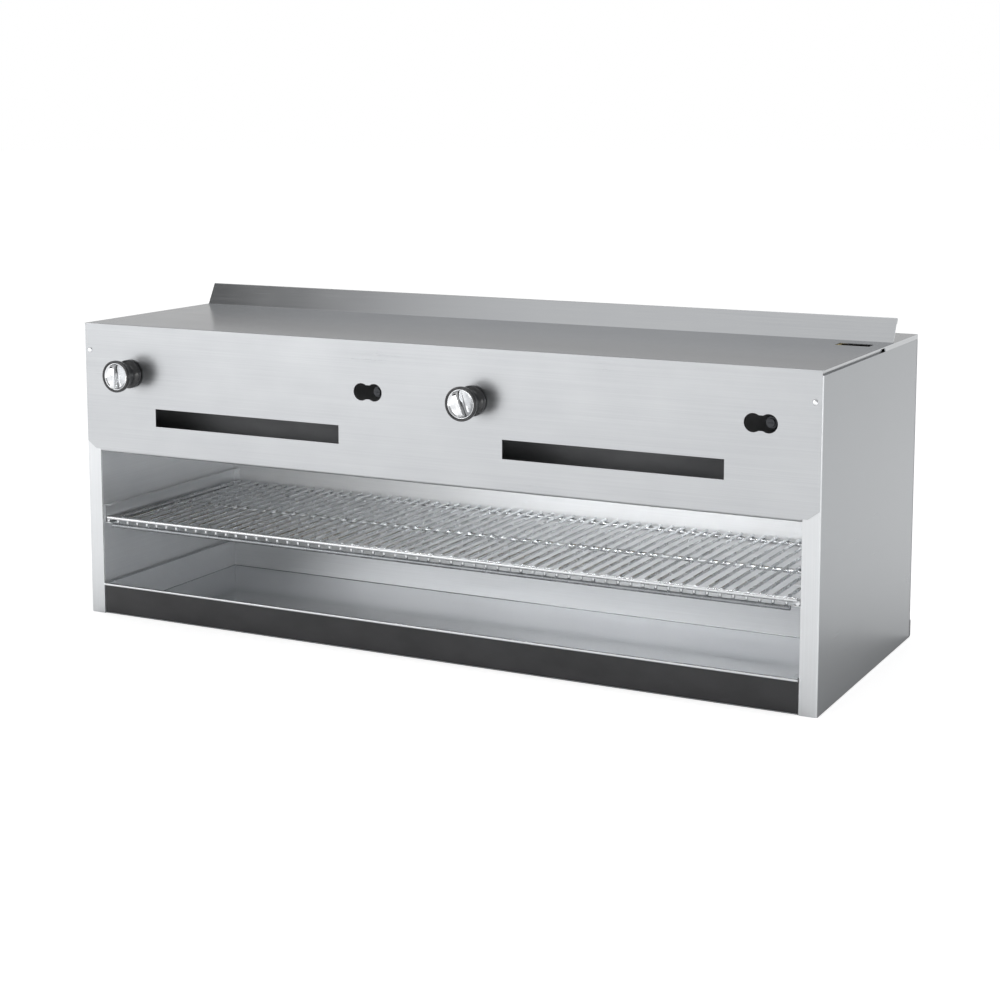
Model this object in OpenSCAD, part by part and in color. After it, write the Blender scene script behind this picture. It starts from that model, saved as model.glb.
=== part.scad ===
// Gas infrared cheese melter, 48 inch class, with two burners side by side.
// Millimetres. X runs to the right, Y to the rear and Z up. The origin is the centre of the
// casing's footprint, on the plane that the base stands on.

/* [Casing] */
// Width of the casing over its side panels
casing_w = 1219; // [1100:1:1500]
// Depth of the casing from the front panel's face to the back panel
casing_d = 455; // [440:1:520]
// Height of the casing from its base to the top sheet
casing_h = 470; // [460:1:540]
// Thickness of the outer stainless sheet
sheet_t = 1.5; // [1:0.1:2]
// Width of the flange that each side panel shows at the front
strip_w = 26; // [25:0.5:34]
// Height of the shadow groove between a side panel and the top sheet
groove_h = 7; // [5:0.5:10]
// Depth of the shadow groove under the overhang of the top sheet
groove_depth = 4; // [2:0.5:6]

/* [Valve panel] */
// Height of the valve panel's lower edge, which is the top of the cooking opening
panel_z = 265; // [255:1:270]
// Outer bend radius along the lower edge of the valve panel
panel_bend_r = 4.5; // [3:0.5:6]
// Depth of the return flange under the valve panel
panel_return = 22; // [15:1:28]
// Distance of the knobs' axes below the top of the casing
knob_drop = 76; // [70:1:80]
// Distance of each knob from the left end of its half of the panel
knob_inset = 89.75; // [85:0.25:105]
// Distance of each lighting port from the right end of its half of the panel
port_inset = 85.75; // [80:0.25:100]
// Length of a cooling slot
slot_w = 336; // [280:1:360]
// Height of a cooling slot
slot_h = 28; // [20:1:34]
// Height of the cooling slots' middle
slot_z = 327; // [320:1:335]
// Width over the two overlapping holes of a lighting port
port_w = 48; // [40:1:48]
// Diameter of each of the two holes of a lighting port
port_h = 26; // [26:1:28]
// Height of a lighting port where its two holes meet
port_neck = 21; // [16:0.5:24]

/* [Cavity] */
// Thickness of the liner sheet
liner_t = 1.2; // [0.8:0.1:1.6]
// Depth from the front to the rear wall of the cavity
cavity_d = 366; // [360:1:380]
// Height of the burner deck above the valve panel's lower edge
deck_rise = 10; // [8:1:17]
// Distance of the ends of the flue slot in the rear wall from the flue's ends
flue_slot_inset = 40; // [20:1:220]
// Height of the flue slot in the rear wall
flue_slot_h = 35; // [20:1:45]

/* [Flue] */
// Depth from the front to the flue's front wall at the top
flue_y = 333; // [330:1:340]
// Distance of the flue's ends from the sides of the casing
flue_inset = 69.5; // [67:0.5:189]
// Depth of the flue opening in the top sheet
flue_d = 104; // [80:1:106]
// Rise of the deflector above the top sheet
deflector_rise = 35; // [20:1:60]
// Distance by which the deflector leans back at its top
deflector_lean = 19; // [0:1:30]
// Gap between an end of the deflector and the side of the casing
deflector_inset = 3; // [0:1:20]

/* [Rack] */
// Height of the rack's top surface
rack_z = 160; // [150:1:200]
// Diameter of the front-to-back wires
wire_d = 4.8; // [4:0.2:6]
// Diameter of the cross rails and the side rails
rail_d = 6.4; // [5:0.2:8]
// Distance between neighbouring wires
wire_pitch = 19; // [15:0.5:30]
// Depth of the rack from its front to its rear rail
rack_d = 336; // [280:1:340]
// Height of the rack guides
guide_h = 30; // [24:1:40]
// Gap between the side rail and the guide's lower ledge
guide_gap = 0.3; // [0.2:0.1:1]

/* [Tray] */
// Height of the drip tray's front
tray_h = 49; // [40:1:60]
// Side play between the tray and the liners
tray_play = 1.2; // [0.6:0.1:3]
// Radius of the rolled lip along the tray's front
tray_lip_r = 2.4; // [1.8:0.1:3]

/* [Burners] */
// Length of one ceramic tile
tile_w = 129; // [110:1:132]
// Depth of one ceramic tile
tile_d = 98; // [85:1:98]
// Thickness of a ceramic tile
tile_t = 13; // [10:1:16]
// Depth from the front to the burners' middle
burner_y = 215; // [212:1:218]
// Gap between a burner's box and the liner, and half of the gap between the two boxes
burner_gap = 25.5; // [20:0.5:32]
// Depth from the front to the heat shield between the valves and the burners
shield_d = 92; // [90:1:96]
// Outer radius of the mixer tube
mixer_r = 17.5; // [14:0.5:19]
// Length of the mixer tube between its bend and the burner's box
mixer_neck = 18.6; // [10:0.2:30]

/* [Knobs] */
// Radius of the knob's skirt next to the panel
skirt_r = 22.5; // [18:0.5:26]
// Radius of the knob's face
face_r = 25; // [20:0.5:30]
// Distance of the knob's face from the panel
knob_reach = 36; // [28:1:45]
// Turn of the left knob from upright, seen from the front, positive anticlockwise
left_knob_turn = 0; // [-30:1:30]
// Turn of the right knob from upright, seen from the front, positive anticlockwise
right_knob_turn = 18; // [-30:1:30]
// Radius of the valve stem
stem_r = 4; // [3:0.1:5]

/* [Gas pipe] */
// Outer radius of the manifold and of the inlet pipe
pipe_r = 13.335; // [10:0.1:14]
// Distance of the manifold's axis below the top of the casing
manifold_drop = 32; // [28:1:36]
// Depth from the front to the manifold's axis
manifold_y = 52; // [48:1:56]
// Distance of the inlet pipe's axis from the right side of the casing
inlet_inset = 46.5; // [44:0.5:50]
// Distance of the inlet coupling's mouth from the back panel
inlet_out = 28; // [22:1:40]

/* [Base] */
// Distance of the leg holes from the front and from the rear of the casing
leg_inset = 50; // [30:1:80]
// Radius of the leg holes
leg_hole_r = 5; // [4:0.1:6]

/* [Hidden] */

stainless = "#d4d6d8";
aluminised = "#a4a6a6";
dark_steel = "#55575a";
chrome = "#e4e6e8";
brass = "#b8955a";
ceramic = "#e0d4c0";

// Places that several pieces share.
nudge = 0.01;             // how far shapes that are joined run into each other
past = 1;                 // how far a cutting shape runs past what it cuts
bend_steps = 4;           // flats that stand for one bend
bend_r = 2.4;             // outer radius of an ordinary bend
side_x = casing_w / 2;
front_y = -casing_d / 2;
rear_y = casing_d / 2;
liner_x = side_x - strip_w;
panel_back = front_y + sheet_t;
back_face = rear_y - sheet_t;
side_h = casing_h - groove_h;
lip_h = 15;               // depth of the lips that stiffen a sheet's edge
half_x = side_x / 2;      // middle of the right half of the valve panel
flange_w = 18;            // width of the side panels' inner flanges
top_under = casing_h - sheet_t;
screw_r = 2;
screw_play = 0.1;
knob_z = casing_h - knob_drop;
manifold_z = casing_h - manifold_drop;
cavity_y = front_y + cavity_d;
deck_z = panel_z + deck_rise;
deck_top = deck_z + liner_t;
shield_y = front_y + shield_d;
shield_foot = 14;         // length of the heat shield's foot on the deck
flue_front = front_y + flue_y;
flue_rear = flue_front + flue_d;
flue_half = side_x - flue_inset;
left_knob_x = -side_x + knob_inset;
right_knob_x = knob_inset;
left_port_x = -port_inset;
right_port_x = side_x - port_inset;
inlet_x = side_x - inlet_inset;
man_y = front_y + manifold_y;

function fy(depth) = front_y + depth;

// Bent sheet. The path is the sheet's outer line, and the sheet lies on its left.
function unit(v) = v / norm(v);
function left_of(v) = [-v[1], v[0]];
function turned(v, a) = [v[0] * cos(a) - v[1] * sin(a), v[0] * sin(a) + v[1] * cos(a)];
function bend_points(before, at, after, radius, inset) =
    let (
        u = unit(at - before),
        v = unit(after - at),
        turn = atan2(u[0] * v[1] - u[1] * v[0], u * v),
        side = sign(turn),
        run = radius * tan(abs(turn) / 2),
        centre = at - u * run + left_of(u) * side * radius,
        reach = side * radius - inset
    )
    [for (k = [0 : bend_steps]) centre - reach * turned(left_of(u), turn * k / bend_steps)];
function sheet_side(path, radius, inset) =
    let (last = len(path) - 1)
    concat(
        [path[0] + left_of(unit(path[1] - path[0])) * inset],
        [for (i = [1 : 1 : last - 1]) each bend_points(path[i - 1], path[i], path[i + 1], radius, inset)],
        [path[last] + left_of(unit(path[last] - path[last - 1])) * inset]
    );
function reversed(list) = [for (i = [len(list) - 1 : -1 : 0]) list[i]];

module bent_sheet(path, thickness, radius = bend_r) {
    polygon(concat(sheet_side(path, radius, 0), reversed(sheet_side(path, radius, thickness))));
}

// A profile drawn in Y and Z, drawn out along X to both sides of the middle.
module along_x(length) {
    rotate([90, 0, 90]) linear_extrude(length, center = true) children();
}

// A profile drawn in X and Z, drawn out along Y from y0 to y1.
module along_y(y0, y1) {
    translate([0, y1, 0]) rotate([90, 0, 0]) linear_extrude(y1 - y0) children();
}

module block(low, high) {
    translate(low) cube(high - low);
}

// A round bar, or the cutter for a hole, between two points on a line along one axis.
module rod_x(x0, x1, y, z, r) {
    translate([x0, y, z]) rotate([0, 90, 0]) cylinder(h = x1 - x0, r = r, $fn = 48);
}

module rod_y(y0, y1, x, z, r) {
    translate([x, y1, z]) rotate([90, 0, 0]) cylinder(h = y1 - y0, r = r, $fn = 48);
}

module rod_z(z0, z1, x, y, r) {
    translate([x, y, z0]) cylinder(h = z1 - z0, r = r, $fn = 48);
}

// Quarter bend of a tube or wire in the Y-Z plane, about a centre, from the angle given.
module tube_bend(y, z, from, bend, r) {
    translate([0, y, z]) rotate([90, 0, 90]) rotate([0, 0, from])
        rotate_extrude(angle = 90, $fn = 48) translate([bend, 0]) circle(r = r, $fn = 24);
}

module both_sides() {
    children();
    mirror([1, 0, 0]) children();
}

// A pan-head screw whose head sits on the plane z = 0 and whose shank points down.
module screw(shank) {
    head_r = 4;
    head_h = 2.2;
    recess = 1.1;
    recess_l = head_r * 1.1;
    recess_w = 1;
    difference() {
        rotate_extrude($fn = 48) polygon([
            [0, 0], [head_r, 0], [head_r, head_h * 0.45],
            [head_r * 0.72, head_h * 0.9], [head_r * 0.4, head_h], [0, head_h]
        ]);
        for (a = [0, 90])
            rotate([0, 0, a]) translate([-recess_l / 2, -recess_w / 2, head_h - recess])
                cube([recess_l, recess_w, recess + past]);
    }
    translate([0, 0, -shank]) cylinder(h = shank + nudge, r = screw_r, $fn = 24);
}

// Casing.

leg_x = side_x - 2 * sheet_t - (side_x - 2 * sheet_t - liner_x - liner_t) / 2;
leg_y = casing_d / 2 - leg_inset;

module at_legs() {
    for (sx = [-1, 1], sy = [-1, 1]) translate([sx * leg_x, sy * leg_y, 0]) children();
}

module base_pan() {
    pan_side = side_x - sheet_t;
    pan_front = panel_back + bend_r;
    color(aluminised) difference() {
        union() {
            along_y(pan_front, back_face)
                bent_sheet([[-pan_side, lip_h], [-pan_side, 0], [pan_side, 0], [pan_side, lip_h]], sheet_t);
            block([-liner_x, back_face - sheet_t, 0], [liner_x, back_face, lip_h]);
        }
        both_sides()
            block([side_x - flange_w - sheet_t, back_face - sheet_t, -past], [side_x, rear_y, lip_h + past]);
        at_legs() translate([0, 0, -past]) cylinder(h = sheet_t + 2 * past, r = leg_hole_r, $fn = 48);
    }
}

module leg_nuts() {
    nut_h = 8;
    nut_flats = 17;
    color(dark_steel) at_legs() translate([0, 0, sheet_t]) rotate([0, 0, 30]) difference() {
        cylinder(h = nut_h, d = nut_flats / cos(30), $fn = 6);
        translate([0, 0, -past]) cylinder(h = nut_h + 2 * past, r = leg_hole_r, $fn = 48);
    }
}

// The valve panel is held by one screw near each upper corner.
panel_screw_drop = 42.6;
panel_screw_inset = 10.9;
panel_screw_z = casing_h - panel_screw_drop;
panel_screw_x = side_x - panel_screw_inset;

module side_panel() {
    difference() {
        union() {
            linear_extrude(side_h) bent_sheet([
                [liner_x, panel_back], [side_x, panel_back],
                [side_x, back_face], [side_x - flange_w, back_face]
            ], sheet_t);
            block([side_x - flange_w, panel_back + sheet_t, side_h - sheet_t],
                [side_x - nudge, back_face, side_h]);
        }
        rod_y(front_y, panel_back + lip_h, panel_screw_x, panel_screw_z, screw_r + screw_play);
        for (z = back_screw_z)
            rod_y(back_face - lip_h, rear_y, back_screw_x, z, screw_r + screw_play);
    }
}

module right_side_panel() { color(stainless) side_panel(); }
module left_side_panel() { color(stainless) mirror([1, 0, 0]) side_panel(); }

back_screw_x = side_x - flange_w / 2;
back_screw_rise = 45;     // height of the back panel's lowest screws
back_screw_drop = 50;     // distance of its highest screws below the top
back_screw_rows = 4;
back_screw_pitch = (casing_h - back_screw_rise - back_screw_drop) / (back_screw_rows - 1);
back_screw_z = [for (k = [0 : back_screw_rows - 1]) back_screw_rise + k * back_screw_pitch];
pipe_play = 1.5;          // play of the inlet pipe in the sheets that it passes

module back_panel() {
    color(stainless) difference() {
        block([-side_x, back_face, 0], [side_x, rear_y, casing_h]);
        rod_y(back_face - past, rear_y + past, inlet_x, manifold_z, pipe_r + pipe_play);
        both_sides() for (z = back_screw_z)
            rod_y(back_face - past, rear_y + past, back_screw_x, z, screw_r + screw_play);
    }
}

module back_panel_screws() {
    color(chrome) both_sides() for (z = back_screw_z)
        translate([back_screw_x, rear_y, z]) rotate([-90, 0, 0]) screw(4 * sheet_t);
}

bumper_out = 5.5;         // how far a bumper keeps the back panel off the wall
bumper_h = 27;
bumper_w = 32;

module rear_bumpers() {
    color("#26282a") both_sides()
        translate([side_x - bumper_w, rear_y, 0]) rotate([90, 0, 90]) linear_extrude(bumper_w)
            polygon([[0, 0], [bumper_out * 0.6, 0], [bumper_out, bumper_out * 0.5],
                [bumper_out, bumper_h - bumper_out * 0.5], [bumper_out * 0.6, bumper_h], [0, bumper_h]]);
}

groove_run = 283;         // depth at which the top cover's side lip comes out flush with the side
groove_end = fy(groove_run);
top_slot_w = 51;
top_slot_l = 26;
top_slot_inset = 21;      // distance of the small slot from the right side
top_slot_d = 272;         // and from the front
top_slot_x = [side_x - top_slot_inset - top_slot_w, side_x - top_slot_inset];
top_slot_y = [fy(top_slot_d), fy(top_slot_d + top_slot_l)];
seam_lap = 2;             // how far the top cover's ends reach past its bent middle

module top_cover() {
    lip_z = casing_h - lip_h;
    color(stainless) difference() {
        union() {
            along_x(2 * (liner_x - seam_lap / 2)) bent_sheet([
                [back_face, lip_z], [back_face, casing_h], [panel_back, casing_h], [panel_back, lip_z]
            ], sheet_t);
            both_sides() {
                block([liner_x - seam_lap, panel_back, top_under], [side_x, back_face, casing_h]);
                block([side_x - groove_depth - sheet_t, panel_back + sheet_t, side_h],
                    [side_x - groove_depth, groove_end, casing_h - nudge]);
                block([side_x - sheet_t, groove_end, side_h], [side_x, back_face, casing_h - nudge]);
            }
        }
        block([-flue_half, flue_front, top_under - past], [flue_half, flue_rear, casing_h + past]);
        block([top_slot_x[0], top_slot_y[0], top_under - past],
            [top_slot_x[1], top_slot_y[1], casing_h + past]);
    }
}

panel_set = 2;            // how far the valve panel's ends stay inside the side panels
corner_cut = 14;          // height of the slanted cut at each lower corner of the valve panel
corner_step = 8;          // width of the level cut between the opening's edge and the slanted one
panel_gap = 0.4;          // side gap between the valve panel's lower bend and the side panels
stem_play = 4;            // play of a valve stem in the valve panel

module port_shape() {
    spacing = port_w - port_h;
    for (sx = [-1, 1]) translate([sx * spacing / 2, 0]) circle(d = port_h, $fn = 48);
    square([spacing, port_neck], center = true);
}

module front_valve_panel() {
    notch_x = liner_x - panel_gap;
    flat_z = panel_z + panel_bend_r;
    color(stainless) difference() {
        along_x(2 * (side_x - panel_set)) bent_sheet([
            [front_y, casing_h], [front_y, panel_z], [fy(panel_return), panel_z]
        ], sheet_t, panel_bend_r);
        both_sides() along_y(front_y - past, fy(panel_return) + past) polygon([
            [notch_x, panel_z - past], [notch_x, flat_z], [notch_x + corner_step, flat_z],
            [side_x + past, flat_z + corner_cut], [side_x + past, panel_z - past]
        ]);
        both_sides()
            rod_y(front_y - past, panel_back + past, panel_screw_x, panel_screw_z, screw_r + screw_play);
        for (x = [left_knob_x, right_knob_x])
            rod_y(front_y - past, panel_back + past, x, knob_z, stem_r + stem_play);
        for (x = [left_port_x, right_port_x])
            along_y(front_y - past, panel_back + past) translate([x, knob_z]) port_shape();
        both_sides() along_y(front_y - past, panel_back + past)
            translate([half_x, slot_z]) square([slot_w, slot_h], center = true);
    }
}

module front_panel_screws() {
    color(chrome) both_sides()
        translate([panel_screw_x, front_y, panel_screw_z]) rotate([90, 0, 0]) screw(4 * sheet_t);
}

// Cavity.

module side_liner() {
    liner_front = panel_back + sheet_t;
    rear_lip = 5;
    translate([0, 0, sheet_t]) linear_extrude(rear_liner_top - sheet_t) bent_sheet([
        [liner_x + lip_h, liner_front], [liner_x, liner_front],
        [liner_x, back_face], [liner_x + rear_lip, back_face]
    ], -liner_t);
}

module right_liner() { color(aluminised) side_liner(); }
module left_liner() { color(aluminised) mirror([1, 0, 0]) side_liner(); }

flue_slot_drop = 70;      // distance of the flue slot's lower edge below the deck
liner_rise = 25;          // how far the liners reach past the deck
flue_slot_w = 2 * (flue_half - flue_slot_inset);
flue_slot_z = deck_z - flue_slot_drop;
rear_liner_top = deck_z + liner_rise;

module rear_liner() {
    color(aluminised) difference() {
        block([-liner_x, cavity_y, sheet_t], [liner_x, cavity_y + liner_t, rear_liner_top]);
        block([-flue_slot_w / 2, cavity_y - past, flue_slot_z],
            [flue_slot_w / 2, cavity_y + liner_t + past, flue_slot_z + flue_slot_h]);
    }
}

box_w = liner_x - 2 * burner_gap;
box_t = 2;
box_rim = 13;             // distance of the burner box's front and rear from the window's edge
tile_lap = 5;             // how far the window's sides cover the outer tiles
tile_rows = 2;
tile_cols = floor((box_w - 2 * box_t - 2 * tile_lap) / tile_w);
window_w = tile_cols * tile_w - 2 * tile_lap;
window_d = tile_rows * tile_d - 1.6 * tile_lap;
box_d = window_d + 2 * box_rim;
deck_hole_rim = 5;        // the deck's hole leaves the burner's window free
deck_hole_w = window_w + 2 * deck_hole_rim;
deck_hole_d = window_d + 2 * deck_hole_rim;
burner_mid = fy(burner_y);
burner_x = liner_x / 2;
pilot_off = (port_w - port_h) / 2; // each pilot valve stands behind the right hole of its port
left_pilot_x = left_port_x + pilot_off;
right_pilot_x = right_port_x + pilot_off;
pilot_head_d = 66;        // depth from the front to the pilot burners
pilot_head_y = fy(pilot_head_d);
pilot_head_r = 6;
pilot_play = 0.3;         // play of a pilot burner in the deck

module burner_deck() {
    deck_front = fy(5);
    stop = deck_z - past;
    color(aluminised) difference() {
        along_x(2 * liner_x) bent_sheet([
            [deck_front, panel_z + sheet_t], [deck_front, deck_top], [cavity_y, deck_top]
        ], -liner_t);
        for (sx = [-1, 1]) translate([sx * burner_x, 0, 0])
            block([-deck_hole_w / 2, burner_mid - deck_hole_d / 2, stop],
                [deck_hole_w / 2, burner_mid + deck_hole_d / 2, deck_top + past]);
        for (x = [left_pilot_x, right_pilot_x])
            rod_z(stop, deck_top + past, x, pilot_head_y, pilot_head_r + pilot_play);
    }
}

mixer_x = [left_knob_x, right_knob_x];
mixer_wall = 1.5;
mixer_play = 0.5;         // play of a mixer tube in the heat shield
roof_clear = 16;          // room between the mixer tubes and the burner roof
roof_z = knob_z + mixer_r + roof_clear;

module control_heat_shield() {
    color(aluminised) difference() {
        along_x(2 * liner_x) bent_sheet([
            [shield_y - shield_foot, deck_top], [shield_y, deck_top], [shield_y, top_under]
        ], liner_t);
        for (x = mixer_x)
            rod_y(shield_y - shield_foot, shield_y + past, x, knob_z, mixer_r + mixer_play);
        rod_y(shield_y - shield_foot, shield_y + past, inlet_x, manifold_z, pipe_r + pipe_play);
    }
}

module burner_roof() {
    color(aluminised) along_x(2 * flue_half) bent_sheet([
        [flue_front - liner_t, roof_z + lip_h], [flue_front - liner_t, roof_z],
        [shield_y, roof_z], [shield_y, roof_z + lip_h]
    ], -liner_t);
}

module roof_insulation() {
    color("#c9b98c") block([-flue_half, shield_y + bend_r, roof_z + liner_t],
        [flue_half, flue_front - liner_t - bend_r, top_under]);
}

// Flue.

flue_floor_drop = 15;     // distance of the flue's floor below the flue slot
flue_floor = flue_slot_z - flue_floor_drop;
flue_knee = rear_liner_top + bend_r; // the flue's front wall bends just above the liner
flue_step = 34;           // height over which it slants forward
flue_lap = 8;             // distance of the flue's front wall above the flue slot

module flue_front_wall() {
    duct_front = flue_front - liner_t;
    low_y = cavity_y + liner_t;
    color(aluminised) along_x(2 * flue_half) bent_sheet([
        [low_y, flue_slot_z + flue_slot_h + flue_lap], [low_y, flue_knee],
        [duct_front, flue_knee + flue_step], [duct_front, top_under]
    ], -liner_t);
}

module flue_duct() {
    low_y = cavity_y + liner_t;
    color(aluminised) {
        along_x(2 * flue_half) bent_sheet([
            [low_y, flue_floor], [flue_rear, flue_floor], [flue_rear, top_under]
        ], -liner_t);
        both_sides() translate([flue_half + liner_t / 2, 0, 0]) along_x(liner_t) polygon([
            [low_y, flue_floor - liner_t], [flue_rear + liner_t, flue_floor - liner_t],
            [flue_rear + liner_t, top_under], [flue_front - liner_t, top_under],
            [flue_front - liner_t, flue_knee + flue_step], [low_y, flue_knee]
        ]);
    }
}

deflector_t = 1.2;
deflector_leg = 20;       // length of the deflector below the top sheet
deflector_bend = 1.5;
screw_pitch = flue_half * 4 / 9;
deflector_screw_x = [for (i = [-2 : 2]) i * screw_pitch];
deflector_screw_z = casing_h - deflector_leg / 2;

module flue_deflector() {
    foot = [flue_front, casing_h];
    crest = foot + [deflector_lean, deflector_rise];
    rise = unit(crest - foot);
    back = [rise[1], -rise[0]];
    hem_w = 3.2;
    hem_h = 9;
    hem_top = crest + back * hem_w;
    path = [hem_top - rise * hem_h, hem_top, crest, foot, foot - [0, deflector_leg]];
    leg_x_end = flue_half - 1;
    hole_r = screw_r + screw_play;
    color(stainless) difference() {
        along_x(2 * (side_x - deflector_inset)) bent_sheet(path, deflector_t, deflector_bend);
        both_sides() block([leg_x_end, front_y, casing_h - deflector_leg - past],
            [side_x + past, rear_y, casing_h]);
        for (x = deflector_screw_x)
            rod_y(flue_front - past, flue_front + deflector_t + past, x, deflector_screw_z, hole_r);
    }
}

module deflector_screws() {
    color(chrome) for (x = deflector_screw_x)
        translate([x, flue_front + deflector_t, deflector_screw_z]) rotate([-90, 0, 0]) screw(deflector_t);
}

// Rack and tray.

rail_r = rail_d / 2;
wire_r = wire_d / 2;
weld = 0.5;               // how far crossing wires melt into each other
rail_z = rack_z - wire_d - rail_r + weld;
rack_inset = 12;          // depth from the front to the wires' turned-down ends
rack_front = fy(rack_inset);
rack_rear = rack_front + rack_d;
rail_tail = 6;            // length of the wires and side rails behind the rear rail
side_rail_inset = 6;      // distance of the rack's side rails from the liners
ledge_w = 12;             // width of the rack guides' ledges
side_rail_x = liner_x - side_rail_inset;
ledge_x = liner_x - ledge_w;
turn_r = 5;               // bend radius of the wires at the rack's front
nose_h = 18;              // height of the wires' turned-down fronts
nose_z = rack_z - nose_h;
guide_inset = 7;          // depth from the front to the rack guides

module rack_guide() {
    web_x = liner_x - liner_t;
    low_z = rail_z - rail_r - guide_gap - liner_t;
    high_z = low_z + guide_h;
    along_y(fy(guide_inset), cavity_y) bent_sheet([
        [ledge_x, low_z], [liner_x, low_z], [liner_x, high_z], [ledge_x, high_z]
    ], liner_t);
    block([ledge_x, cavity_y - liner_t, low_z + liner_t / 2], [web_x, cavity_y, high_z - liner_t / 2]);
}

module right_rack_guide() { color(chrome) rack_guide(); }
module left_rack_guide() { color(chrome) mirror([1, 0, 0]) rack_guide(); }

module rack_wire() {
    top_z = rack_z - wire_r;
    rod_y(rack_front + turn_r, rack_rear + rail_tail, 0, top_z, wire_r);
    tube_bend(rack_front + turn_r, top_z - turn_r, 90, turn_r, wire_r);
    rod_z(nose_z, top_z - turn_r, 0, rack_front, wire_r);
}

// Two rails are welded to the front of the wires: one along their bends, level with their tops,
// and one along their lower ends.
module wire_rack() {
    wire_inset = 8;
    wires = floor(2 * (side_rail_x - wire_inset) / wire_pitch);
    bend_reach = turn_r + wire_r + rail_r - weld;
    bend_rise = turn_r + wire_r - rail_r;
    front_rail_y = rack_front + turn_r - sqrt(bend_reach * bend_reach - bend_rise * bend_rise);
    nose_rail_y = rack_front - wire_r - rail_r + weld;
    nose_rail_x = ledge_x - 4;
    color(chrome) union() {
        for (i = [0 : wires])
            translate([(i - wires / 2) * wire_pitch, 0, 0]) rack_wire();
        for (y = [rack_front + rack_d / 2, rack_rear])
            rod_x(-side_rail_x, side_rail_x, y, rail_z, rail_r);
        rod_x(-side_rail_x, side_rail_x, front_rail_y, rack_z - rail_r, rail_r);
        rod_x(-nose_rail_x, nose_rail_x, nose_rail_y, nose_z + rail_r, rail_r);
        both_sides() rod_y(front_rail_y, rack_rear + rail_tail, side_rail_x, rail_z, rail_r);
    }
}

tray_t = 1.2;
tray_gap = 0.3;           // running gap under the tray
tray_x = liner_x - tray_play;
tray_rear_gap = 3;        // the tray stops short of the rear wall
tray_inset = 2.5;         // its front stands behind the casing's
tray_rear = cavity_y - tray_rear_gap;
tray_front = fy(tray_inset);
tray_floor = sheet_t + tray_gap;

module drip_tray() {
    rim = 9;
    tray_top = tray_floor + tray_h;
    lip_z = tray_top - tray_lip_r;
    color(stainless) {
        along_x(2 * tray_x) bent_sheet([
            [tray_front, lip_z], [tray_front, tray_floor], [tray_rear, tray_floor],
            [tray_rear, tray_top], [tray_rear - rim, tray_top]
        ], tray_t);
        both_sides() along_y(tray_front + tray_t / 2, tray_rear - tray_t / 2) bent_sheet([
            [tray_x - rim, tray_floor], [tray_x, tray_floor], [tray_x, tray_top], [tray_x - rim, tray_top]
        ], tray_t);
        rod_x(-tray_x, tray_x, tray_front + tray_t - tray_lip_r, lip_z, tray_lip_r);
    }
}

// Burners. Each is drawn about its own middle and put in its half of the casing.

frame_lip = 7;            // width of the burner frame outside the burner's box
plenum_z = deck_top + liner_t;
mixer_bend_r = 32;
plenum_h = knob_z - mixer_bend_r - mixer_neck - plenum_z;

module in_half(side) {
    translate([side * burner_x, burner_mid, 0]) children();
}

module burner_frame(side) {
    color(aluminised) in_half(side) difference() {
        block([-box_w / 2 - frame_lip, -box_d / 2 - frame_lip, deck_top],
            [box_w / 2 + frame_lip, box_d / 2 + frame_lip, plenum_z]);
        block([-window_w / 2, -window_d / 2, deck_top - past], [window_w / 2, window_d / 2, plenum_z + past]);
    }
}

mixer_bore = mixer_r - mixer_wall;
mixer_run = 52;           // distance of the mixer's down leg behind the heat shield
mixer_bend_y = shield_y + mixer_run;

module burner_box(side, feed_x) {
    top_z = plenum_z + plenum_h;
    color(dark_steel) difference() {
        in_half(side) difference() {
            block([-box_w / 2, -box_d / 2, plenum_z], [box_w / 2, box_d / 2, top_z]);
            block([-box_w / 2 + box_t, -box_d / 2 + box_t, plenum_z - past],
                [box_w / 2 - box_t, box_d / 2 - box_t, top_z - box_t]);
        }
        rod_z(top_z - box_t - past, top_z + past, feed_x, mixer_bend_y, mixer_bore);
    }
}

tile_gap = 0.3;

// Each tile has rows of grooves in the face that glows.
module ceramic_tiles(side) {
    groove_pitch = tile_d / 7;
    groove_t = 1.2;
    groove_half = 1;
    half_w = (tile_w - tile_gap) / 2;
    half_d = (tile_d - tile_gap) / 2;
    groove_x = half_w - 9;
    color(ceramic) in_half(side) for (i = [0 : tile_cols - 1], j = [0 : tile_rows - 1])
        translate([(i - (tile_cols - 1) / 2) * tile_w, (j - (tile_rows - 1) / 2) * tile_d, plenum_z])
            difference() {
                block([-half_w, -half_d, 0], [half_w, half_d, tile_t]);
                for (k = [-2 : 2]) translate([0, k * groove_pitch, 0])
                    block([-groove_x, -groove_half, -past], [groove_x, groove_half, groove_t]);
            }
}

screen_wires = 21;        // gaps between the wires of a burner's screen
screen_drop = 9;          // distance of the screen's upper wires below the deck
screen_z = deck_z - screen_drop;
screen_r = 1.25;
screen_weld = 0.3;        // how far the crossing wires of a screen melt into each other

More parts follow.
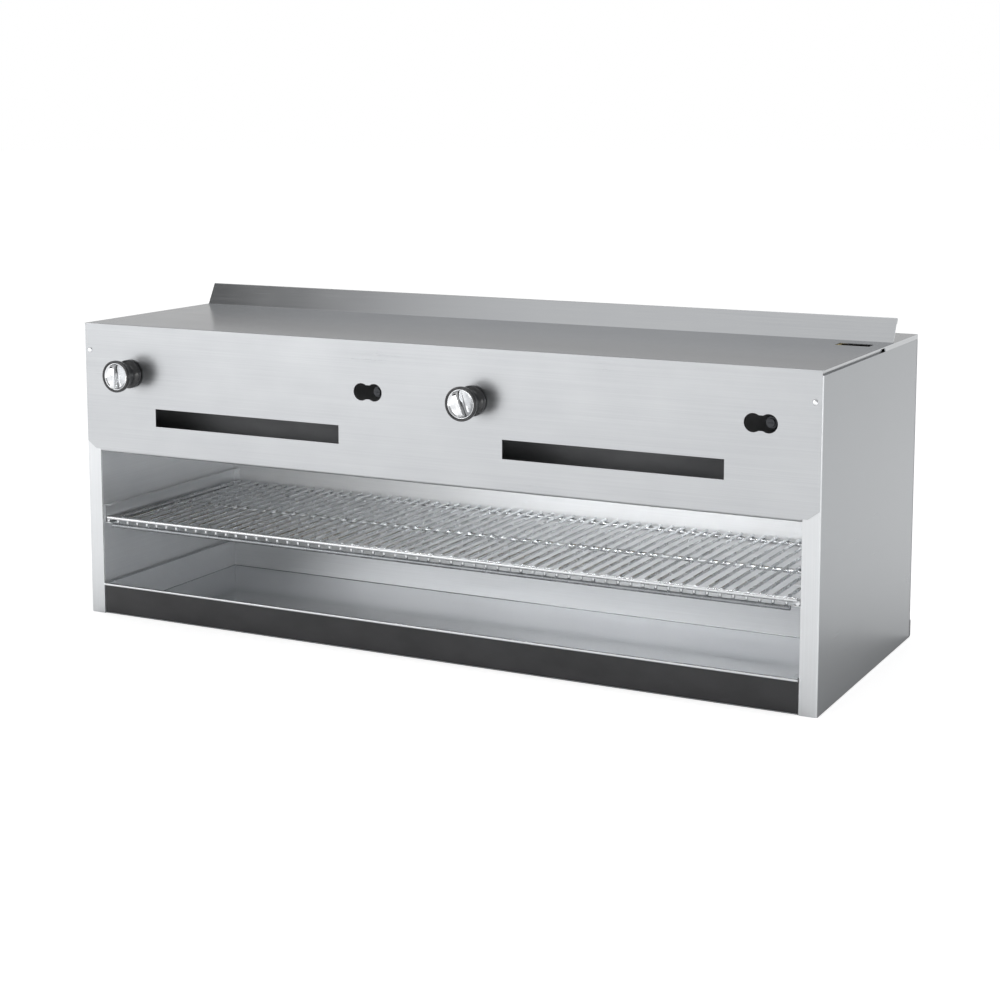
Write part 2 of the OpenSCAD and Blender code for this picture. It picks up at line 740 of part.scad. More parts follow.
// The screen is a flat grid, and each strap hooks under its edge and hangs from the deck.
module burner_screen(side) {
    half_w = deck_hole_w / 2 + 8;
    half_d = deck_hole_d / 2 + 8;
    edge = 2;
    cross_z = screen_z - 2 * screen_r + screen_weld;
    low_z = cross_z - screen_r;
    strap_t = 1;
    strap_w = 10;
    strap_hook = 7;
    color(chrome) in_half(side) {
        for (i = [0 : screen_wires])
            rod_y(-half_d, half_d, (i / screen_wires * 2 - 1) * (half_w - edge), screen_z, screen_r);
        for (y = [-half_d + edge, 0, half_d - edge])
            rod_x(-half_w, half_w, y, cross_z, screen_r);
        for (sx = [-1, 0, 1], a = [0, 180]) translate([sx * (half_w - 20), 0, 0]) rotate([0, 0, a]) {
            block([-strap_w / 2, half_d, low_z - strap_t], [strap_w / 2, half_d + strap_t, deck_z]);
            block([-strap_w / 2, half_d - strap_hook, low_z - strap_t],
                [strap_w / 2, half_d + strap_t, low_z]);
        }
    }
}

module mixer_bend(bend, r) {
    translate([0, mixer_bend_y - bend, knob_z - bend]) rotate([0, -90, 0])
        rotate_extrude(angle = 90, $fn = 64) translate([bend, 0]) circle(r = r, $fn = 48);
}

// A tube that comes in from the front at the valve's height and turns down into the burner box.
module mixer(x) {
    bend = mixer_bend_r;
    mouth_gap = 28;
    mouth_y = man_y + mouth_gap;
    flare_l = 8;
    flare_r = mixer_r + 5;
    rim_l = 2;
    flange_t = 3;
    flange_r = mixer_r + 9;
    box_top = plenum_z + plenum_h;
    color(dark_steel) translate([x, 0, 0]) difference() {
        union() {
            rod_y(mouth_y, mixer_bend_y - bend, 0, knob_z, mixer_r);
            translate([0, mouth_y, knob_z]) rotate([-90, 0, 0]) rotate_extrude($fn = 48) polygon([
                [mixer_bore, 0], [flare_r, 0], [flare_r, rim_l],
                [mixer_r, rim_l + flare_l], [mixer_bore, rim_l + flare_l]
            ]);
            mixer_bend(bend, mixer_r);
            rod_z(box_top, knob_z - bend, 0, mixer_bend_y, mixer_r);
            rod_z(box_top, box_top + flange_t, 0, mixer_bend_y, flange_r);
        }
        rod_y(mouth_y - past, mixer_bend_y - bend, 0, knob_z, mixer_bore);
        mixer_bend(bend, mixer_bore);
        rod_z(box_top - past, knob_z - bend, 0, mixer_bend_y, mixer_bore);
    }
}

// Gas pipe and valves.

nipple_r = 5;
pilot_nipple_r = 3.2;
nipple_play = 0.05;
tap_depth = 4;
elbow_reach = 22;         // from the inlet elbow's corner to each of its mouths
pipe_low = manifold_z - pipe_r;

module gas_manifold() {
    end_inset = 60;
    closed_end = -side_x + end_inset;
    color(dark_steel) difference() {
        rod_x(closed_end, inlet_x - elbow_reach, man_y, manifold_z, pipe_r);
        for (x = mixer_x)
            rod_z(pipe_low - past, pipe_low + tap_depth, x, man_y, nipple_r + nipple_play);
        for (x = [left_pilot_x, right_pilot_x])
            rod_z(pipe_low - past, pipe_low + tap_depth, x, man_y, pilot_nipple_r + nipple_play);
    }
}

// The inlet elbow has its two mouths at the manifold's end and at the inlet pipe's front.
module inlet_elbow() {
    reach = elbow_reach;
    wall_r = pipe_r + 1;
    bead_r = pipe_r + 3;
    bead_l = 6;
    color(dark_steel) translate([inlet_x, man_y, manifold_z]) {
        translate([-reach, reach, 0]) rotate([0, 0, -90])
            rotate_extrude(angle = 90, $fn = 64) translate([reach, 0]) circle(r = wall_r, $fn = 48);
        rod_x(-reach, -reach + bead_l, 0, 0, bead_r);
        rod_y(reach - bead_l, reach, 0, 0, bead_r);
    }
}

inlet_thread_r = 12.6;
inlet_thread_l = 16;
coupling_back = 2;        // gap between the back panel and the inlet coupling

module inlet_pipe() {
    pipe_wall = 2.9;
    bore_front = rear_y - 40;
    pipe_end = rear_y + inlet_out - inlet_thread_l;
    color(dark_steel) difference() {
        rod_y(man_y + elbow_reach, pipe_end, inlet_x, manifold_z, pipe_r);
        rod_y(bore_front, pipe_end + past, inlet_x, manifold_z, pipe_r - pipe_wall);
    }
}

module inlet_coupling() {
    mouth = rear_y + inlet_out;
    near = rear_y + coupling_back;
    outer_r = pipe_r + 4;
    color(dark_steel) difference() {
        rod_y(near, mouth, inlet_x, manifold_z, outer_r);
        rod_y(near - past, mouth - inlet_thread_l, inlet_x, manifold_z, pipe_r + nipple_play);
        rod_y(mouth - inlet_thread_l - past, mouth + past, inlet_x, manifold_z, inlet_thread_r);
    }
}

bracket_x = [-half_x, 0, half_x];

module manifold_brackets() {
    strap = 2;
    width = 20;
    color(aluminised) for (x = bracket_x) translate([x - width / 2, 0, 0]) difference() {
        rotate([90, 0, 90]) linear_extrude(width) union() {
            translate([man_y, manifold_z]) circle(r = pipe_r + strap, $fn = 48);
            translate([man_y, pipe_low - strap]) square([shield_y - liner_t - man_y, strap]);
            translate([shield_y - liner_t - strap, pipe_low - strap - lip_h]) square([strap, lip_h + strap]);
        }
        rod_x(-past, width + past, man_y, manifold_z, pipe_r + nipple_play);
    }
}

valve_set = 12;           // gap between the valve panel and a gas valve
valve_tail = 12;          // length of a gas valve behind the manifold's axis
valve_front = panel_back + valve_set;
valve_rear = man_y + valve_tail;
valve_bore = 24;          // depth of the stem's bore in a gas valve
seat_gap = 0.5;           // distance of a valve's shoulder from the manifold

module gas_valve(x) {
    body_r = 11;
    bonnet_w = 36;
    bonnet_h = 22;
    bonnet_t = 4;
    shoulder_r = 8;
    bolt_x = 13.5;
    bolt_r = 2.6;
    bolt_h = 2;
    color(brass) translate([x, 0, 0]) difference() {
        union() {
            rod_y(valve_front, valve_rear, 0, knob_z, body_r);
            block([-bonnet_w / 2, valve_front, knob_z - bonnet_h / 2],
                [bonnet_w / 2, valve_front + bonnet_t, knob_z + bonnet_h / 2]);
            rod_z(knob_z, pipe_low - seat_gap, 0, man_y, shoulder_r);
            rod_z(knob_z, pipe_low + tap_depth - seat_gap, 0, man_y, nipple_r);
            for (sx = [-1, 1]) rod_y(valve_front - bolt_h, valve_front, sx * bolt_x, knob_z, bolt_r);
        }
        rod_y(valve_front - bolt_h - past, valve_front + valve_bore, 0, knob_z, stem_r + nipple_play);
    }
}

module orifice_hood(x) {
    hex_l = 8.4;
    hex_r = 7.2;
    nose_l = 5.6;
    jet_r = 0.8;
    color(brass) translate([x, valve_rear, knob_z]) rotate([-90, 0, 0]) difference() {
        union() {
            cylinder(h = hex_l, r = hex_r, $fn = 6);
            translate([0, 0, hex_l]) cylinder(h = nose_l, r1 = 6, r2 = 4, $fn = 48);
        }
        translate([0, 0, hex_l]) cylinder(h = nose_l + past, r = jet_r, $fn = 24);
    }
}

stem_back = valve_front + valve_bore - 0.3; // the stem stops just short of its bore's floor
stem_flat = stem_r * 0.55; // distance of the stem's flat from its axis
knob_gap = 2;             // gap between the knobs and the valve panel

module valve_stem(x, turn) {
    stem_front = front_y - knob_reach + 10;
    color(brass) translate([x, 0, knob_z]) rotate([0, -turn, 0]) difference() {
        rod_y(stem_front, stem_back, 0, 0, stem_r);
        block([-stem_r - past, stem_front - past, stem_flat],
            [stem_r + past, front_y - 2 * knob_gap, stem_r + past]);
    }
}

face_t = 2;               // how far the seat of the knob's cap lies behind its reach
rim_w = 3.5;              // width of the black rim round the cap
rim_h = 5;                // height of the rim above the cap's seat
cap_play = 0.1;           // play of the cap in the rim

// The knob's body: a skirt, a waist for the fingers and a dished front with a rim round the cap.
module knob(x, turn) {
    body_l = knob_reach - knob_gap - face_t;
    neck_r = skirt_r - 6;
    cap_seat_r = face_r - rim_w;
    rim_top = body_l + rim_h;
    edge = 1.2;
    bore_l = body_l - 8;
    color("#3a3b3d") translate([x, front_y - knob_gap, knob_z]) rotate([0, -turn, 0]) rotate([90, 0, 0])
        difference() {
            rotate_extrude($fn = 96) polygon([
                [0, 0], [skirt_r, 0], [skirt_r, 5], [skirt_r - 1.5, 7], [neck_r + 2, 9], [neck_r, 13],
                [neck_r, body_l - 11], [neck_r + 2, body_l - 7], [face_r - edge, body_l - 3],
                [face_r, body_l - 1], [face_r, rim_top - edge], [face_r - edge, rim_top],
                [cap_seat_r + edge, rim_top], [cap_seat_r, rim_top - edge], [cap_seat_r, body_l],
                [0, body_l]
            ]);
            difference() {
                translate([0, 0, -past]) cylinder(h = bore_l + past, r = stem_r + nipple_play, $fn = 48);
                block([-stem_r - past, stem_flat + nipple_play, knob_gap],
                    [stem_r + past, stem_r + past, bore_l + past]);
            }
        }
}

// The chromed cap: a dished disc with a grip bar across it.
module knob_face(x, turn) {
    cap_r = face_r - rim_w - cap_play;
    cap_h = rim_h - 1.2;
    crest_h = rim_h + 9;
    grip_half = 5.5;
    dish = 2;
    lip = 1.2;
    bar_r = cap_r - lip;
    color(chrome) translate([x, front_y - knob_reach + face_t, knob_z])
        rotate([0, -turn, 0]) rotate([90, 0, 0]) {
            rotate_extrude($fn = 96) polygon([
                [0, 0], [cap_r, 0], [cap_r, cap_h], [cap_r - lip, cap_h],
                [cap_r - lip - dish, cap_h - dish], [0, cap_h - dish]
            ]);
            intersection() {
                rotate_extrude($fn = 96) polygon([
                    [0, 0], [bar_r, 0], [bar_r, rim_h], [bar_r - 1.5, crest_h - 3],
                    [bar_r - 4, crest_h - 0.8], [bar_r - 7, crest_h], [0, crest_h]
                ]);
                rotate([90, 0, 0]) linear_extrude(2 * face_r, center = true) polygon([
                    [-grip_half - 1.5, 0], [grip_half + 1.5, 0], [grip_half, rim_h],
                    [grip_half - 1.5, crest_h - 2], [grip_half - 3.5, crest_h],
                    [-grip_half + 3.5, crest_h], [-grip_half + 1.5, crest_h - 2],
                    [-grip_half, rim_h]
                ]);
            }
        }
}

pilot_r = 8;              // radius of a pilot valve's body
pilot_set = 7;            // gap between the valve panel and a pilot valve's screw
pilot_front = panel_back + pilot_set;
pilot_neck_r = 5.5;
tube_r = 3.2;
tube_d = 42;              // depth from the front to the pilot tubes' down legs
tube_y = fy(tube_d);
pilot_outlet = 8;         // length of a pilot valve's outlet
tube_top = knob_z - pilot_r - pilot_outlet;
tube_bend_r = 10;
tube_rise = 34;           // height of the pilot tubes' level run above the deck
tube_low = deck_z + tube_rise;
pilot_rise = 14;          // height of the pilot burners' tops above the deck
pilot_top = deck_z + pilot_rise;

module pilot_valve(x) {
    screw_l = 4;
    slot_half = 0.6;
    slot_deep = 1.5;
    color(brass) translate([x, 0, 0]) difference() {
        union() {
            rod_y(pilot_front + screw_l, man_y + 6, 0, knob_z, pilot_r);
            rod_y(pilot_front, pilot_front + screw_l, 0, knob_z, pilot_neck_r);
            rod_z(knob_z, pipe_low - seat_gap, 0, man_y, pilot_neck_r);
            rod_z(knob_z, pipe_low + tap_depth - seat_gap, 0, man_y, pilot_nipple_r);
            rod_z(tube_top, knob_z, 0, tube_y, pilot_neck_r);
        }
        block([-pilot_r, pilot_front - past, knob_z - slot_half],
            [pilot_r, pilot_front + slot_deep, knob_z + slot_half]);
    }
}

module pilot_tube(x) {
    bend = tube_bend_r;
    color("#c8c8c4") translate([x, 0, 0]) {
        rod_z(tube_low + bend, tube_top, 0, tube_y, tube_r);
        tube_bend(tube_y + bend, tube_low + bend, 180, bend, tube_r);
        rod_y(tube_y + bend, pilot_head_y - bend, 0, tube_low, tube_r);
        tube_bend(pilot_head_y - bend, tube_low - bend, 0, bend, tube_r);
        rod_z(pilot_top, tube_low - bend, 0, pilot_head_y, tube_r);
    }
}

module pilot_burner(x) {
    tip_z = deck_z - 12;
    jet_z = tip_z + 5;
    jet_r = 2;
    collar_t = 2;
    neck_z = deck_top + 2 * collar_t;
    color(brass) translate([x, pilot_head_y, 0]) difference() {
        union() {
            rod_z(neck_z, pilot_top, 0, 0, tube_r + 1.4);
            rod_z(tip_z, neck_z, 0, 0, pilot_head_r);
            rod_z(deck_top, deck_top + collar_t, 0, 0, pilot_head_r + 3);
        }
        rod_y(0, pilot_head_r + past, 0, jet_z, jet_r);
    }
}

module left_burner_frame() { burner_frame(-1); }
module right_burner_frame() { burner_frame(1); }
module left_burner_box() { burner_box(-1, left_knob_x); }
module right_burner_box() { burner_box(1, right_knob_x); }
module left_ceramic_tiles() { ceramic_tiles(-1); }
module right_ceramic_tiles() { ceramic_tiles(1); }
module left_burner_screen() { burner_screen(-1); }
module right_burner_screen() { burner_screen(1); }
module left_mixer() { mixer(left_knob_x); }
module right_mixer() { mixer(right_knob_x); }
module left_gas_valve() { gas_valve(left_knob_x); }
module right_gas_valve() { gas_valve(right_knob_x); }
module left_orifice_hood() { orifice_hood(left_knob_x); }
module right_orifice_hood() { orifice_hood(right_knob_x); }
module left_valve_stem() { valve_stem(left_knob_x, left_knob_turn); }
module right_valve_stem() { valve_stem(right_knob_x, right_knob_turn); }
module left_knob() { knob(left_knob_x, left_knob_turn); }
module right_knob() { knob(right_knob_x, right_knob_turn); }
module left_knob_face() { knob_face(left_knob_x, left_knob_turn); }
module right_knob_face() { knob_face(right_knob_x, right_knob_turn); }
module left_pilot_valve() { pilot_valve(left_pilot_x); }
module right_pilot_valve() { pilot_valve(right_pilot_x); }
module left_pilot_tube() { pilot_tube(left_pilot_x); }
module right_pilot_tube() { pilot_tube(right_pilot_x); }
module left_pilot_burner() { pilot_burner(left_pilot_x); }
module right_pilot_burner() { pilot_burner(right_pilot_x); }

base_pan();
leg_nuts();
left_side_panel();
right_side_panel();
back_panel();
rear_bumpers();
top_cover();
front_valve_panel();
front_panel_screws();
back_panel_screws();
left_liner();
right_liner();
rear_liner();
burner_deck();
control_heat_shield();
burner_roof();
roof_insulation();
flue_front_wall();
flue_duct();
flue_deflector();
deflector_screws();
left_rack_guide();
right_rack_guide();
wire_rack();
drip_tray();
left_burner_frame();
right_burner_frame();
left_burner_box();
right_burner_box();
left_ceramic_tiles();
right_ceramic_tiles();
left_burner_screen();
right_burner_screen();
left_mixer();
right_mixer();
gas_manifold();
inlet_elbow();
inlet_pipe();
inlet_coupling();
manifold_brackets();
left_gas_valve();
right_gas_valve();
left_orifice_hood();
right_orifice_hood();
left_valve_stem();
right_valve_stem();
left_knob();
right_knob();
left_knob_face();
right_knob_face();
left_pilot_valve();
right_pilot_valve();
left_pilot_tube();
right_pilot_tube();
left_pilot_burner();
right_pilot_burner();
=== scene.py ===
"""Cheese melter, 48 inch gas counter model: finishes, visible pieces, studio and camera.

Everything is in metres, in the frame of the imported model: +X right, +Y rear, +Z up, the front
faces -Y, and the origin is the centre of the casing's footprint on the base plane.
"""

import logging
import math
from collections.abc import Callable
from dataclasses import dataclass
from enum import Enum
from itertools import pairwise

import bpy
from mathutils import Matrix, Vector


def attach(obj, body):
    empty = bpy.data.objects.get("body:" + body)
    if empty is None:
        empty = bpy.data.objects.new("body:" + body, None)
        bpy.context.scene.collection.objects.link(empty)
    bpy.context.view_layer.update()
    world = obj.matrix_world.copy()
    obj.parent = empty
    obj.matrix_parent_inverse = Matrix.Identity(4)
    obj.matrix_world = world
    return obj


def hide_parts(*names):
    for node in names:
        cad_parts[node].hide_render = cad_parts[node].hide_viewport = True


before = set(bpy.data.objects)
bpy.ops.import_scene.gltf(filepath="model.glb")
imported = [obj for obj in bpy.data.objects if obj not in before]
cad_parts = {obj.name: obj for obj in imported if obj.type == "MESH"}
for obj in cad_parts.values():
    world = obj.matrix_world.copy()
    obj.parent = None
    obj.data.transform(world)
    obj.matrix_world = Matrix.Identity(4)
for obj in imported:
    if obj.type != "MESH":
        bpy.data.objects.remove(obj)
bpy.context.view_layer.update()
MM = 0.001
NOISE_LOW, NOISE_HIGH = 0.3, 0.7  # nearly all of a noise lies between these
FACING = 0.5  # a face looks along an axis where its normal has more than this share of it
LOG = logging.getLogger("cheese_melter")


class Grain(Enum):
    """Direction in which a sheet was brushed or rolled; the value is the axis number."""

    ALONG_X = 0
    ALONG_Y = 1
    ALONG_Z = 2


class Side(Enum):
    """Half of the machine, seen from the front; the value is the sign of X."""

    LEFT = -1
    RIGHT = 1

    @property
    def prefix(self) -> str:
        """Start of the names of this half's nodes."""
        return self.name.lower()


def linear(hex_colour: str) -> tuple[float, float, float, float]:
    """Turn an sRGB colour into the linear one that shaders take.

    Args:
        hex_colour: The colour as "#rrggbb".

    Returns:
        Red, green, blue and alpha 1, linear.
    """
    parts = [int(hex_colour[i : i + 2], 16) / 255 for i in (1, 3, 5)]
    red, green, blue = (c / 12.92 if c <= 0.04045 else ((c + 0.055) / 1.055) ** 2.4 for c in parts)
    return red, green, blue, 1.0


def feed(tree: bpy.types.NodeTree, node: bpy.types.Node, inputs: dict[str | int, object]) -> None:
    """Link or set a node's sockets.

    Args:
        tree: Node tree of a material or of the world.
        node: The node.
        inputs: What each socket gets, by name or number: a socket is linked, a value is set.
    """
    for key, value in inputs.items():
        if isinstance(value, bpy.types.NodeSocket):
            tree.links.new(value, node.inputs[key])
        else:
            node.inputs[key].default_value = value


def add_node(
    tree: bpy.types.NodeTree,
    kind: str,
    inputs: dict[str | int, object] | None = None,
    settings: dict[str, object] | None = None,
) -> bpy.types.Node:
    """Add a shader node with its settings and links.

    Args:
        tree: Node tree of a material or of the world.
        kind: The node's type, such as "ShaderNodeTexNoise".
        inputs: What each socket gets, as feed takes it.
        settings: Properties of the node, by name.

    Returns:
        The new node.
    """
    node = tree.nodes.new(kind)
    for name, value in (settings or {}).items():
        setattr(node, name, value)
    feed(tree, node, inputs or {})
    return node


def mottle(
    tree: bpy.types.NodeTree, size_mm: tuple[float, float, float], detail: float = 2.0
) -> bpy.types.NodeSocket:
    """Make a noise whose blotches have a real size along each axis.

    Args:
        tree: The material's node tree.
        size_mm: Size of a blotch along X, Y and Z.
        detail: How many finer layers the noise has.

    Returns:
        The noise's value, from 0 to 1 and mostly near 0.5.
    """
    place = add_node(tree, "ShaderNodeTexCoord").outputs["Object"]
    scale = tuple(1 / (size * MM) for size in size_mm)
    scaled = add_node(tree, "ShaderNodeMapping", {"Vector": place, "Scale": scale})
    inputs = {"Vector": scaled.outputs[0], "Scale": 1.0, "Detail": detail}
    return add_node(tree, "ShaderNodeTexNoise", inputs).outputs["Fac"]


def between(
    tree: bpy.types.NodeTree, factor: bpy.types.NodeSocket, low: float, high: float
) -> bpy.types.NodeSocket:
    """Spread the middle of a noise over a range of values.

    Args:
        tree: The material's node tree.
        factor: The noise.
        low: Result where the noise is NOISE_LOW or less.
        high: Result where the noise is NOISE_HIGH or more.

    Returns:
        The value in the range.
    """
    inputs = {
        "Value": factor,
        "From Min": NOISE_LOW,
        "From Max": NOISE_HIGH,
        "To Min": low,
        "To Max": high,
    }
    return add_node(tree, "ShaderNodeMapRange", inputs).outputs["Result"]


def two_tone(
    tree: bpy.types.NodeTree, factor: bpy.types.NodeSocket, first: str, second: str
) -> bpy.types.NodeSocket:
    """Blend two colours by a noise.

    Args:
        tree: The material's node tree.
        factor: The noise.
        first: Colour where the noise is low.
        second: Colour where it is high.

    Returns:
        The blended colour.
    """
    # a Mix node of colours takes them at sockets 6 and 7, and gives the blend at output 2
    inputs = {0: between(tree, factor, 0.0, 1.0), 6: linear(first), 7: linear(second)}
    return add_node(tree, "ShaderNodeMix", inputs, {"data_type": "RGBA"}).outputs[2]


def relief(
    tree: bpy.types.NodeTree,
    height: bpy.types.NodeSocket,
    depth_mm: float,
    strength: float = 1.0,
    under: bpy.types.NodeSocket | None = None,
) -> bpy.types.NodeSocket:
    """Turn a pattern into a bumpy normal.

    Args:
        tree: The material's node tree.
        height: The pattern.
        depth_mm: Depth from its lowest to its highest place.
        strength: Share of the effect that is used.
        under: A coarser relief that this one lies on.

    Returns:
        The normal.
    """
    inputs = {"Height": height, "Distance": depth_mm * MM, "Strength": strength}
    if under is not None:
        inputs["Normal"] = under
    return add_node(tree, "ShaderNodeBump", inputs).outputs["Normal"]


@dataclass(frozen=True, kw_only=True)
class Finish:
    """A finish of a real material. Its subclasses say how the nodes are built."""

    name: str
    slot: str

    def material(self) -> bpy.types.Material:
        """Give this finish's material, which is built once.

        Returns:
            The material.
        """
        made = bpy.data.materials.get(self.name)
        if made is None:
            made = bpy.data.materials.new(self.name)
            made.use_nodes = True
            self.shade(made.node_tree, made.node_tree.nodes["Principled BSDF"])
        return made

    def shade(self, tree: bpy.types.NodeTree, shader: bpy.types.Node) -> None:
        """Build the finish's nodes.

        Args:
            tree: The material's node tree.
            shader: Its Principled shader.
        """
        raise NotImplementedError


@dataclass(frozen=True, kw_only=True)
class TwoToneFinish(Finish):
    """A finish of two close tones, which one pattern spreads together with the gloss."""

    light: str
    dark: str
    roughness: tuple[float, float]  # on the dark tone and on the light one
    metallic: float = 1.0

    def coat(
        self,
        tree: bpy.types.NodeTree,
        shader: bpy.types.Node,
        pattern: bpy.types.NodeSocket,
        normal: bpy.types.NodeSocket,
    ) -> None:
        """Tie the shader to a pattern and a relief.

        Args:
            tree: The material's node tree.
            shader: Its Principled shader.
            pattern: The pattern, with the dark tone where it is low.
            normal: The relief.
        """
        inputs = {
            "Base Color": two_tone(tree, pattern, self.dark, self.light),
            "Roughness": between(tree, pattern, *self.roughness),
            "Normal": normal,
            "Metallic": self.metallic,
        }
        feed(tree, shader, inputs)


@dataclass(frozen=True, kw_only=True)
class BrushedStainless(TwoToneFinish):
    """Type 304 stainless sheet with a No. 4 brushed finish.

    The eye sees soft reflections drawn out across the brush lines, thin lighter and darker
    streaks along them, and slow waves where thin sheet isn't quite flat. It is less metallic
    where a blasted or baked surface scatters light evenly.
    """

    name: str = "stainless_brushed"
    slot: str = "stainless"
    grain: Grain = Grain.ALONG_X
    line_mm: float = 1.4  # real brush lines are 0.1 mm apart: drawn coarser, so that they show
    line_run_mm: float = 160.0
    line_depth_mm: float = 0.006
    wave_mm: float = 240.0
    wave_depth_mm: float = 0.22
    wipe_mm: tuple[float, float, float] = (90.0, 60.0, 60.0)
    wipe_share: float = 0.45

    def streak_size(self) -> tuple[float, float, float]:
        """Give the size of a brush streak.

        Returns:
            Its size along X, Y and Z, in millimetres.
        """
        size = [self.line_mm] * 3
        size[self.grain.value] = self.line_run_mm
        return tuple(size)

    def shade(self, tree: bpy.types.NodeTree, shader: bpy.types.Node) -> None:
        """Build the brushed finish: streaks, slow waves and faint wipe marks.

        Args:
            tree: The material's node tree.
            shader: Its Principled shader.
        """
        streaks = mottle(tree, self.streak_size(), detail=3.0)
        waves = mottle(tree, (self.wave_mm,) * 3, detail=1.0)
        wipes = mottle(tree, self.wipe_mm, detail=4.0)
        # a Mix node of numbers takes them at sockets 2 and 3
        marks = add_node(tree, "ShaderNodeMix", {0: self.wipe_share, 2: streaks, 3: wipes}).outputs[0]
        flat = relief(tree, waves, self.wave_depth_mm)
        lines = relief(tree, streaks, self.line_depth_mm, strength=0.6, under=flat)
        self.coat(tree, shader, marks, lines)


@dataclass(frozen=True, kw_only=True)
class AluminisedSheet(TwoToneFinish):
    """Hot-dip aluminised steel sheet, rolled.

    The eye sees a soft, slightly darker grey than stainless, with a fine mottled bloom.
    """

    name: str = "aluminised_sheet"
    slot: str = "aluminised"
    light: str = "#b4b6b8"
    dark: str = "#a3a5a8"
    roughness: tuple[float, float] = (0.30, 0.42)
    bloom_mm: float = 14.0
    bloom_depth_mm: float = 0.02
    wave_mm: float = 170.0
    wave_depth_mm: float = 0.3

    def shade(self, tree: bpy.types.NodeTree, shader: bpy.types.Node) -> None:
        """Build the rolled sheet: bloom, roll marks and slow waves.

        Args:
            tree: The material's node tree.
            shader: Its Principled shader.
        """
        bloom = mottle(tree, (self.bloom_mm,) * 3, detail=4.0)
        waves = mottle(tree, (self.wave_mm,) * 3, detail=1.0)
        flat = relief(tree, waves, self.wave_depth_mm)
        self.coat(tree, shader, bloom, relief(tree, bloom, self.bloom_depth_mm, strength=0.5, under=flat))


@dataclass(frozen=True, kw_only=True)
class BlackPipe(TwoToneFinish):
    """Black iron pipe and hot-rolled steel with mill scale.

    The eye sees dark blue-grey scale with dull patches and a faint warm bloom.
    """

    name: str = "black_steel_mill_scale"
    slot: str = "black_steel"
    light: str = "#55565a"
    dark: str = "#3b3d40"
    roughness: tuple[float, float] = (0.42, 0.62)
    metallic: float = 0.75
    scale_mm: float = 9.0
    scale_depth_mm: float = 0.08

    def shade(self, tree: bpy.types.NodeTree, shader: bpy.types.Node) -> None:
        """Build the mill scale: patches of two tones, rough to the touch.

        Args:
            tree: The material's node tree.
            shader: Its Principled shader.
        """
        scale = mottle(tree, (self.scale_mm,) * 3, detail=5.0)
        self.coat(tree, shader, scale, relief(tree, scale, self.scale_depth_mm, strength=0.6))


@dataclass(frozen=True, kw_only=True)
class ChromedWire(TwoToneFinish):
    """Satin chrome on drawn steel wire.

    The eye sees pale, soft highlights along the wires, a little duller where fat has baked on.
    """

    name: str = "chrome_plated_wire"
    slot: str = "chrome_wire"
    light: str = "#e0e2e4"
    dark: str = "#d2d4d6"
    roughness: tuple[float, float] = (0.22, 0.32)
    spot_mm: float = 22.0
    spot_depth_mm: float = 0.01

    def shade(self, tree: bpy.types.NodeTree, shader: bpy.types.Node) -> None:
        """Build the plating: satin, with dull spots.

        Args:
            tree: The material's node tree.
            shader: Its Principled shader.
        """
        spots = mottle(tree, (self.spot_mm,) * 3, detail=3.0)
        self.coat(tree, shader, spots, relief(tree, spots, self.spot_depth_mm, strength=0.5))


@dataclass(frozen=True, kw_only=True)
class ChromedTrim(TwoToneFinish):
    """Bright chrome on a smooth die casting, as on knob faces and screw heads.

    The eye sees a mirror with very slight softness.
    """

    name: str = "chrome_plated_trim"
    slot: str = "chrome_trim"
    light: str = "#eff0f2"
    dark: str = "#e2e4e6"
    roughness: tuple[float, float] = (0.05, 0.12)
    wipe_mm: tuple[float, float, float] = (6.0, 6.0, 2.0)
    wipe_depth_mm: float = 0.004

    def shade(self, tree: bpy.types.NodeTree, shader: bpy.types.Node) -> None:
        """Build the plating: a near mirror, with faint wiping marks.

        Args:
            tree: The material's node tree.
            shader: Its Principled shader.
        """
        wipes = mottle(tree, self.wipe_mm, detail=3.0)
        self.coat(tree, shader, wipes, relief(tree, wipes, self.wipe_depth_mm, strength=0.4))


@dataclass(frozen=True, kw_only=True)
class BlackPhenolic(TwoToneFinish):
    """Compression-moulded black phenolic.

    The eye sees a deep, glossy near-black with small, clear highlights and a hint of
    orange peel from the mould.
    """

    name: str = "phenolic_moulded_black"
    slot: str = "knob_black"
    light: str = "#303134"
    dark: str = "#262729"
    roughness: tuple[float, float] = (0.16, 0.24)
    metallic: float = 0.0
    ior: float = 1.6
    peel_mm: float = 1.6
    peel_depth_mm: float = 0.02

    def shade(self, tree: bpy.types.NodeTree, shader: bpy.types.Node) -> None:
        """Build the moulding: gloss with faint orange peel.

        Args:
            tree: The material's node tree.
            shader: Its Principled shader.
        """
        peel = mottle(tree, (self.peel_mm,) * 3)
        self.coat(tree, shader, peel, relief(tree, peel, self.peel_depth_mm, strength=0.4))
        shader.inputs["IOR"].default_value = self.ior


@dataclass(frozen=True, kw_only=True)
class MachinedBrass(TwoToneFinish):
    """Free-cutting brass, turned.

    The eye sees a dull yellow metal with fine turning marks and brown tarnish.
    """

    name: str = "brass_turned"
    slot: str = "brass"
    light: str = "#c9a765"
    dark: str = "#a5813f"
    roughness: tuple[float, float] = (0.24, 0.40)
    ring_mm: tuple[float, float, float] = (12.0, 0.6, 12.0)
    ring_depth_mm: float = 0.02
    tarnish_mm: float = 8.0

    def shade(self, tree: bpy.types.NodeTree, shader: bpy.types.Node) -> None:
        """Build the turned brass: fine rings along the valve's axis and tarnish.

        Args:
            tree: The material's node tree.
            shader: Its Principled shader.
        """
        rings = mottle(tree, self.ring_mm)
        tarnish = mottle(tree, (self.tarnish_mm,) * 3, detail=3.0)
        self.coat(tree, shader, tarnish, relief(tree, rings, self.ring_depth_mm, strength=0.5))


